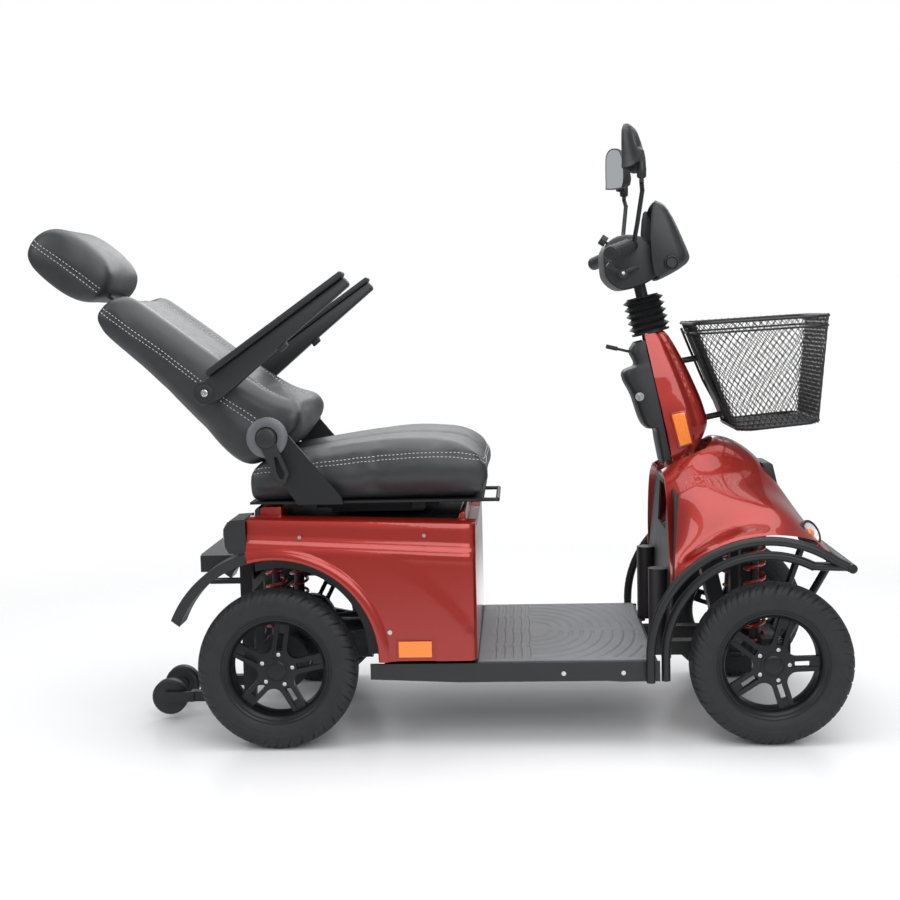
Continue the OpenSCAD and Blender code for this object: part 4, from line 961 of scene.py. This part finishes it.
# Twisted polyester thread is dull, with light and dark plies.
thread = finish("white_polyester_thread", "d9dadb", 0.6)
where = add(thread, "TexCoord").outputs["Object"]
twist = add(thread, "TexWave", {"Vector": where, "Scale": 300.0}).outputs["Fac"]
two_tone(thread, twist, "c4c5c7", "e6e6e6")

block = [(-66, 548), (-70, 575), (-66, 602), (-24, 620), (60, 634), (180, 652), (290, 662), (380, 657), (436, 645)]
block += [(466, 620), (475, 588), (469, 556), (446, 541), (300, 538), (-44, 538)]
seat = slab("seat_foam", smooth(block, 3, closed=True), -236, 236, 22, 4)
plump(seat, 3, 12)
PAN_TOP = 539
for vertex in seat.data.vertices:
    x, y, z = vertex.co
    if z > 600:
        vertex.co.z -= 11 * math.exp(-((y / 34) ** 2)) * min((z - 600) / 30, 1)
    vertex.co.z = max(vertex.co.z, PAN_TOP)
side_seam = [(-66, -225, 606), (0, -241, 614), (68, -243, 621), (220, -244, 636), (364, -243, 641), (430, -236, 632)]
side_seam += [(462, -205, 622), (474, -120, 618), (476, 0, 618)]
under_seam = [(-66, -228, 562), (68, -243, 560), (364, -243, 560), (440, -236, 562), (468, -205, 566)]
under_seam += [(480, -120, 568), (482, 0, 568)]
middle_seam = [(-40, 0, 616), (60, 0, 628), (180, 0, 642), (290, 0, 650), (380, 0, 644), (440, 0, 632)]
sew(seat, both_sides(side_seam), 5, 16)
sew(seat, both_sides(under_seam), 3, 12)
sew(seat, middle_seam, 4, 18)
apply(seat, "SUBSURF", levels=1, render_levels=1)
seams = [both_sides(side_seam), middle_seam]
put(stitches("seat_stitches", seat, seams, 5), "seat", thread, "leather")
put(seat, "seat", leather, "leather", "seat_cushion", edge=60)

slope = [(72, -28), (79, -10), (66, 20), (50, 60), (42, 110), (36, 190), (30, 300), (22, 430), (14, 472), (-12, 481)]
slope += [(-42, 477), (-52, 440), (-60, 300), (-76, 150), (-86, 60), (-86, 10), (-70, -18), (-20, -30), (40, -36)]
back = slab("back_foam", smooth(slope, 3, closed=True), -215, 215, 22, 4)
plump(back, 3, 10)
for vertex in back.data.vertices:
    x, y, z = vertex.co
    if x > 0:
        bolster = math.exp(-(((abs(y) - 165) / 46) ** 2)) * 9 * min(x / 20, 1)
        lumbar = (math.exp(-(((z - 130) / 42) ** 2)) * 6 - math.exp(-(((z - 200) / 16) ** 2)) * 6) * min(x / 20, 1)
        vertex.co.x += bolster + (lumbar if abs(y) < 130 else 0)
welt = [(4, -224, -24), (6, -226, 40), (-2, -226, 140), (-8, -224, 260), (-14, -220, 380), (-18, -214, 440)]
welt += [(-20, -190, 468), (-20, -120, 476), (-20, 0, 477)]
back_seams = [both_sides(welt)]
long_seam = [(64, 122, 10), (46, 122, 60), (40, 122, 130), (34, 124, 220), (28, 118, 330), (22, 96, 430)]
for side in (-1, 1):
    back_seams.append([(x, side * y, z) for x, y, z in long_seam])
for high, front in ((88, 46), (200, 36), (300, 30)):
    back_seams.append([(front, -120, high), (front + 2, 0, high - 6), (front, 120, high)])
for k, seam in enumerate(back_seams):
    sew(back, seam, 6 if k else 4, 15)
apply(back, "SUBSURF", levels=1, render_levels=1)
put(stitches("back_stitches", back, back_seams[:3], 5), "back", thread, "leather", turn=BACK)
put(back, "back", leather, "leather", "backrest", turn=BACK, edge=60)

pillow = [(46, 520), (60, 560), (62, 624), (52, 676), (18, 706), (-28, 709), (-56, 688), (-63, 628), (-56, 554)]
pillow += [(-32, 512), (10, 504)]
rest = slab("head_foam", smooth(pillow, 3, closed=True), -136, 136, 22, 4)
plump(rest, 3, 9)
ring_seam = [(-2, -134, 512), (-2, -140, 560), (-4, -140, 620), (-8, -134, 670), (-10, -112, 694), (-10, 0, 702)]
sew(rest, both_sides(ring_seam), 4, 13)
apply(rest, "SUBSURF", levels=1, render_levels=1)
put(stitches("head_stitches", rest, [both_sides(ring_seam)], 5), "head_pad", thread, "leather", turn=BACK)
put(rest, "head_pad", leather, "leather", "headrest", turn=BACK, edge=60)
for side, word in ((-1, "right"), (1, "left")):
    post = turned("head_post_" + word, [(0, 400), (6, 402), (6, 540), (0, 540)], 24, axis="Z")
    post.data.transform(Matrix.Translation((-8, 62 * side, 0)))
    put(post, "head_pad", steel, "frame", turn=BACK)


# ---------------------------------------------------------------- grips, levers and switches
# Ribbed soft-rubber grips on the bar's ends, bright screws at the finger levers' hubs, and a raised
# round bezel under the horn button.
for side, word in ((-1, "right"), (1, "left")):
    inner, outer = Vector((782, side * 200, 1080.5)), Vector((736, side * 324, 1062))
    aim = (outer - inner).to_track_quat("Z", "Y").to_matrix().to_4x4()
    grip_profile = [(11.4, 0), (16.4, 0), (16.9, 3), (15.9, 5)]
    for k in range(10):
        grip_profile += [(15.2, 8 + 11 * k), (16.2, 10 + 11 * k), (16.2, 15 + 11 * k), (15.2, 17 + 11 * k)]
    grip_profile += [(16, 120), (16.6, 123), (16.4, 131), (14, 134.5), (5, 135), (4, 133.5), (0, 133.5)]
    grip = turned("ribbed_grip_" + word, grip_profile, axis="Z")
    nodes = ("grips",) if side < 0 else ()
    put(grip, "steering_head", rubber_soft, "grip", *nodes, turn=Matrix.Translation(inner) @ aim)
    hub_profile = [(0, 146.4), (3, 146.2), (4.4, 144.8), (4.6, 141), (0, 141)]
    hub = turned("lever_hub_" + word, [(r, a * side) for r, a in hub_profile])
    put(hub, "throttle", bright, "bright", turn=Matrix.Translation((776, 0, 1024)))
ring_profile = [(12, -129.5), (12.2, -134), (13.5, -135.2), (15.5, -134.6), (17, -130), (17, -129)]
horn_ring = turned("horn_bezel", ring_profile)
put(horn_ring, "steering_head", plastic, "black_plastic", turn=Matrix.Translation((884, 0, 1046)))


# ---------------------------------------------------------------- mirrors
# Two shells of black plastic, deeper at the foot than at the top, with a silvered glass set in the
# face towards the rider and a thin frame round it.
# Silvered glass is a clear mirror with a slight smear.
mirror_glass = finish("silvered_mirror_glass", "f2f4f5", 0.02, Metallic=1.0)
where = add(mirror_glass, "TexCoord").outputs["Object"]
smear = add(mirror_glass, "TexNoise", {"Vector": where, "Scale": 30.0, "Detail": 5.0}).outputs["Fac"]
haze = add(mirror_glass, "MapRange", {"Value": smear, "To Min": 0.01, "To Max": 0.07}).outputs["Result"]
feed(mirror_glass, "Roughness", haze)
face = [(30, 2), (36, 14), (36, 74), (28, 90), (12, 98), (-12, 99), (-40, 94), (-58, 80), (-70, 56)]
face += [(-73, 22), (-66, 4), (-50, -2)]
face = smooth(face, 3, closed=True)
GLASS_X = -33
MIDDLE_U, MIDDLE_V = -18, 48
shell_rings = [(-33, 0.93), (-34, 0.965), (-33, 1.0), (-29, 1.0), (-20, 0.97), (-10, 0.86), (-4, 0.66)]
shell_rings += [(-2, 0.4), (-1.5, 0.1)]
for side, word in ((-1, "right"), (1, "left")):
    turn = Matrix.Translation((809, 245 * side, 1240)) @ Matrix.Rotation(math.radians(20 * side), 4, "Z")
    rings = []
    for back, share in shell_rings:
        ring = []
        for u, v in face:
            deep = 1.0 if back < -28 else 1.05 - 0.5 * max(v, 0) / 99
            across = side * (MIDDLE_U + (u - MIDDLE_U) * share)
            ring.append((GLASS_X + (back - GLASS_X) * deep, across, MIDDLE_V + (v - MIDDLE_V) * share))
        rings.append(ring + ring[:1])
    shell = loft("mirror_shell_" + word, rings, caps=(False, True))
    neck = turned("mirror_neck", [(0, -17), (8, -17), (10, -14), (10.5, 2), (9, 16), (0, 16)], axis="Z")
    cut(neck, turned("neck_bore", [(0, -30), (5.3, -30), (5.3, 2), (0, 2)], axis="Z"))
    arm = slab("mirror_arm", [(-20, -4), (2, -8), (8, 2), (4, 14), (-18, 18)], -7, 7, 3)
    put(join(shell, neck, arm), "mirror_" + word, plastic, "black_plastic", "mirror_" + word[0], turn=turn)
    pane_points = [
        (-32.2, side * (MIDDLE_U + (u - MIDDLE_U) * 0.94), MIDDLE_V + (v - MIDDLE_V) * 0.94) for u, v in face
    ]
    pane = shape("mirror_pane_" + word, pane_points, [tuple(range(len(pane_points)))])
    apply(pane, "SOLIDIFY", thickness=1.5, offset=0)
    tidy(pane)
    put(pane, "mirror_" + word, mirror_glass, "bright", turn=turn)


# ---------------------------------------------------------------- wire basket
# A basket of black-coated steel wire woven in diamonds, with a double rim, a denser floor and two
# brackets that hook it on the tiller.
def basket_ring(share):
    """The basket's outline at a share of its height, as a rounded rectangle of (x, y, z)."""
    back_x, front_x = 1030 - 97 * share, 1210 + 21 * share
    half = 161 + 6 * share
    corner = 44
    points = []
    for cx, cy, start in ((front_x - corner, half - corner, 0), (back_x + corner, half - corner, 90)):
        for k in range(9):
            angle = math.radians(start + 90 * k / 8)
            points.append((cx + corner * math.cos(angle), cy + corner * math.sin(angle)))
    points += [(x, -y) for x, y in reversed(points)]
    out = []
    for x, y in points:
        lift = (x - back_x) / (front_x - back_x)
        low, high = 667 + 17 * lift, 913 + 13 * lift
        out.append(Vector((x, y, low + (high - low) * share)))
    return out


def even(ring, count):
    """A closed ring resampled to evenly spaced points."""
    ring = ring + ring[:1]
    total = sum((b - a).length for a, b in zip(ring, ring[1:]))
    out, gone, k, goal = [], 0.0, 0, 0.0
    for a, b in zip(ring, ring[1:]):
        span = (b - a).length
        while goal <= gone + span and len(out) < count:
            out.append(a.lerp(b, (goal - gone) / span if span else 0))
            goal += total / count
        gone += span
    return out


AROUND = 76
LEVELS = 26
RIM_STEPS = 96
NET_LONG, NET_WIDE, NET_HALF = 20, 30, 158
hoops = [even(basket_ring(k / LEVELS), AROUND * 2) for k in range(LEVELS + 1)]
points = [hoops[k][(2 * i + k % 2) % (2 * AROUND)] for k in range(LEVELS + 1) for i in range(AROUND)]
cells = []
for k in range(LEVELS - 1):
    for i in range(AROUND):
        right = (i + (1 if k % 2 else 0)) % AROUND
        left = (right - 1) % AROUND
        cells.append((k * AROUND + i, (k + 1) * AROUND + right, (k + 2) * AROUND + i, (k + 1) * AROUND + left))
weave = shape("basket_weave", points, cells)
apply(weave, "WIREFRAME", thickness=2.3, use_even_offset=False, use_boundary=True)
bottom_points, bottom_cells = [], []
for i in range(NET_LONG + 1):
    for j in range(NET_WIDE + 1):
        y = -NET_HALF + 2 * NET_HALF * j / NET_WIDE
        rounding = 40 * max(abs(y) / NET_HALF - 0.75, 0) ** 1.5 * 4
        back_edge, front_edge = 1034 + rounding, 1206 - rounding
        x = back_edge + (front_edge - back_edge) * i / NET_LONG
        bottom_points.append((x, y, 668 + 17 * (x - 1030) / 180))
row = NET_WIDE + 1
for i in range(NET_LONG):
    for j in range(NET_WIDE):
        bottom_cells.append((i * row + j, (i + 1) * row + j, (i + 1) * row + j + 1, i * row + j + 1))
floor_net = shape("basket_floor", bottom_points, bottom_cells)
apply(floor_net, "WIREFRAME", thickness=2.3, use_even_offset=False, use_boundary=True)


def rod_along(name, path, radius, sides=10, closed=False):
    """A round wire or tube along a path."""
    points = [Vector(p) for p in path]
    count = len(points)
    spots, faces = [], []
    up = Vector((0, 0, 1))
    for k, point in enumerate(points):
        before = points[k - 1] if k or closed else points[k]
        after = points[(k + 1) % count] if k < count - 1 or closed else points[k]
        along = (after - before).normalized()
        across = along.cross(up if abs(along.z) < 0.95 else Vector((1, 0, 0))).normalized()
        over = across.cross(along)
        for q in range(sides):
            angle = 2 * math.pi * q / sides
            spots.append(point + (across * math.cos(angle) + over * math.sin(angle)) * radius)
    for k in range(count if closed else count - 1):
        n = (k + 1) % count
        for q in range(sides):
            r = (q + 1) % sides
            faces.append((k * sides + q, n * sides + q, n * sides + r, k * sides + r))
    if not closed:
        faces += [tuple(range(sides)), tuple(reversed(range((count - 1) * sides, count * sides)))]
    made = shape(name, spots, faces)
    tidy(made)
    return made


top = even(basket_ring(1), RIM_STEPS)
rims = [rod_along("rim_wire", [p + Vector((0, 0, -4)) for p in top], 3.4, closed=True)]
low_ring = [p + Vector((0, 0, -15)) for p in even(basket_ring(0.955), RIM_STEPS)]
rims.append(rod_along("rim_wire_low", low_ring, 2.4, closed=True))
rims.append(rod_along("foot_wire", even(basket_ring(0.02), RIM_STEPS), 3, closed=True))
basket = join(weave, floor_net, *rims)
for y in (-52, 52):
    strut = [(925, y, 898), (936, y, 870), (975, y, 775), (1020, y, 690), (1034, y, 672), (1200, y, 682)]
    basket = join(basket, rod_along("basket_strut", strut, 3))
put(basket, "carrier", steel, "frame", "basket")


# ---------------------------------------------------------------- armrests
# Long padded armrests of moulded polyurethane on steel beams, with a bolt in a round boss at the
# pivot and a height stop under the beam.
ARM = Matrix.Translation((-144, 0, 784)) @ Matrix.Rotation(math.radians(-35), 4, "Y")
beam_outline = [(-12, -26), (-26, -14), (-28, 4), (-20, 20), (-6, 26), (30, 23), (394, 22), (396, 6), (392, 0)]
beam_outline += [(208, -15), (60, -29), (20, -30)]
pad_outline = [(30, 22.5), (390, 22.5), (397, 26), (399, 31), (396, 35.5), (60, 36), (38, 36), (31, 31)]
boss_profile = [(0, 238), (25, 238), (27, 241), (27, 269), (25, 271.5), (0, 271.5)]
washer_profile = [(6, 271), (6, 274.5), (15, 275), (19, 273.6), (19, 271)]
bolt_profile = [(0, 274), (2.6, 274), (2.8, 277), (5.6, 277), (7.6, 275.6), (7.8, 271), (0, 271)]
for side, word in ((-1, "right"), (1, "left")):
    beam = slab("armrest_beam_" + word, beam_outline, side * 241, side * 271, 5)
    boss = turned("boss", [(r, side * a) for r, a in boss_profile])
    stop = slab("stop", [(186, -27), (207, -25), (211, -9), (186, -9)], side * 244, side * 267, 2)
    put(join(beam, boss, stop), "arm_" + word, plastic, "black_plastic", "armrest_" + word[0], turn=ARM)
    pad = slab("armrest_pad_" + word, pad_outline, side * 237, side * 292, 4.5, 4)
    put(pad, "arm_" + word, rubber_soft, "grip", turn=ARM)
    washer = turned("armrest_ring_" + word, [(r, side * a) for r, a in washer_profile])
    put(washer, "arm_" + word, rubber_soft, "grip", turn=ARM)
    bolt = turned("armrest_bolt_" + word, [(r, side * a) for r, a in bolt_profile])
    put(bolt, "arm_" + word, bright, "bright", turn=ARM)


# ---------------------------------------------------------------- recline hinges
# A flat ring of grey glass-filled nylon covers each recliner. The right one has a dark hand knob in its
# middle, and the left one a plain black cap.
# Glass-filled nylon is grey, with a fine fleck of fibre ends.
nylon = finish("grey_glass_filled_nylon", "5c5e62", 0.42)
where = add(nylon, "TexCoord").outputs["Object"]
fleck = add(nylon, "TexNoise", {"Vector": where, "Scale": 500.0, "Detail": 4.0}).outputs["Fac"]
two_tone(nylon, fleck, "535559", "66686c")
ring_profile = [(24, 271.6), (25, 273.6), (33, 274.6), (40, 274), (44.2, 271), (44.6, 258), (43.5, 257)]
ring_profile += [(43.5, 256), (24, 256), (24, 271.6)]
for side, word in ((-1, "right"), (1, "left")):
    cover = turned("hinge_ring_" + word, [(r, a * side) for r, a in ring_profile], 72)
    put(cover, "seat", nylon, "black_plastic", turn=HINGE)
knob = turned("hinge_knob", [(0, -284.6), (17, -284.4), (20, -283.2), (22.4, -280.2), (22.6, -272.2), (0, -272.2)])
put(knob, "recline_lever", plastic, "black_plastic", turn=HINGE)
left_cap = turned("hinge_cap_left", [(0, 276), (16, 275.6), (22, 273.4), (23.8, 270), (0, 270)])
put(left_cap, "seat", plastic, "black_plastic", turn=HINGE)


# ---------------------------------------------------------------- spring dampers
# Red enamelled coil springs round grey damper tubes, two over the rear axle and two over the front
# arms.
SPRING_Y = 165
SPRING_TOP = 424.5


def coil(name, x, y, low, high, radius, wire, turns_round):
    """A helical spring with flattened ends."""
    path = []
    steps = int(turns_round * 22)
    for k in range(steps + 1):
        share = k / steps
        flat = min(max((share * turns_round - 0.7) / (turns_round - 1.4), 0), 1)
        angle = 2 * math.pi * turns_round * share
        height = low + wire + (high - low - 2 * wire) * flat
        path.append((x + radius * math.cos(angle), y + radius * math.sin(angle), height))
    return rod_along(name, path, wire, 8)


def squeeze(piece):
    """Gives a spring or damper its own copy of its mesh."""
    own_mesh(piece)


for side, word in ((-1, "right"), (1, "left")):
    for name, x, low, wheel_joint, nodes, keep in (
        ("rear", -20, 213.5, "rear_axle_swing", ("rear_springs",) if side < 0 else (), 0.86),
        ("front", 1060, 196.5, f"front_arm_{word[0]}_swing", ("front_spring_" + word[0],), 0.95),
    ):
        red = coil(f"{name}_coil_{word}", x, SPRING_Y * side, low, SPRING_TOP, 21, 4, 8)
        put(red, "chassis", spring_red, "spring", *nodes)
        squeeze(red)
        tube_profile = [(0, low), (13, low), (13, low + 100), (9, low + 102), (9, 424), (0, 424)]
        tube = turned(f"{name}_damper_{word}", tube_profile, 28, axis="Z")
        put(tube, "chassis", casting, "casting", turn=Matrix.Translation((x, SPRING_Y * side, 0)))
        squeeze(tube)


# ---------------------------------------------------------------- foot mat
# A moulded grey rubber mat: fans of curved grooves either side of a plain middle, and a ladder of
# straight ones along its rear edge, with a rounded border.
mat_low, mat_high = [TO_ROW.inverted() @ Vector(corner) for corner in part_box("floor_mat")]
where = add(mat_rubber, "TexCoord").outputs["Object"]
scuff = add(mat_rubber, "TexNoise", {"Vector": where, "Scale": 16.0, "Detail": 6.0, "Roughness": 0.6}).outputs["Fac"]
two_tone(mat_rubber, scuff, "606265", "77797c")
pit = add(mat_rubber, "TexNoise", {"Vector": where, "Scale": 800.0, "Detail": 3.0}).outputs["Fac"]
feed(mat_rubber, "Normal", add(mat_rubber, "Bump", {"Height": pit, "Strength": 0.2, "Distance": 0.0006}).outputs[0])


MAT_BORDER = 14
LADDER_START, LADDER_STOP = 466, 561


def mat_groove(x, y):
    """How deep the mat's pattern is at a place on it."""
    edge = min(x - mat_low.x, mat_high.x - x, mat_high.y - abs(y))
    if edge < MAT_BORDER:
        return 0
    if x < 560:
        if abs(abs(y) - 150) < 5:
            return 0
        bend = 10 * ((abs(y) % 150) / 150 - 0.5) ** 2
        return groove(2, (x + bend - LADDER_START) % 19 - 9.5, 4) if LADDER_START < x + bend < LADDER_STOP else 0
    if abs(y) < 16:
        return 0
    radius = math.hypot(x - 566, (abs(y) - 18) * 0.62)
    return groove(2, radius % 25 - 12.5, 3.4) if radius > 20 else 0


columns = int((mat_high.x - mat_low.x) / 1.9)
across = int((mat_high.y - mat_low.y) / 3.4)
mat_points = []
for i in range(columns + 1):
    for j in range(across + 1):
        x = mat_low.x + (mat_high.x - mat_low.x) * i / columns
        y = mat_low.y + (mat_high.y - mat_low.y) * j / across
        near = min(x - mat_low.x, mat_high.x - x, mat_high.y - abs(y))
        mat_points.append((x, y, mat_high.z - mat_groove(x, y) - max(1.6 - near, 0) * 0.9))
wide = across + 1
mat_faces = [
    (i * wide + j, (i + 1) * wide + j, (i + 1) * wide + j + 1, i * wide + j + 1)
    for i in range(columns)
    for j in range(across)
]
foot_mat = shape("foot_mat", mat_points, mat_faces)
bpy.ops.object.mode_set(mode="EDIT")
bpy.ops.mesh.select_all(action="DESELECT")
bpy.ops.mesh.select_non_manifold()
bpy.ops.mesh.extrude_region_move(TRANSFORM_OT_translate={"value": (0, 0, 0)})
bpy.ops.object.mode_set(mode="OBJECT")
for vertex in foot_mat.data.vertices[len(mat_points) :]:
    vertex.co.z = mat_low.z + 0.4
bpy.ops.object.mode_set(mode="EDIT")
bpy.ops.mesh.select_all(action="DESELECT")
bpy.ops.mesh.select_non_manifold()
bpy.ops.mesh.edge_face_add()
bpy.ops.object.mode_set(mode="OBJECT")
put(foot_mat, "chassis", mat_rubber, "grey_rubber", "floor_mat", edge=40)
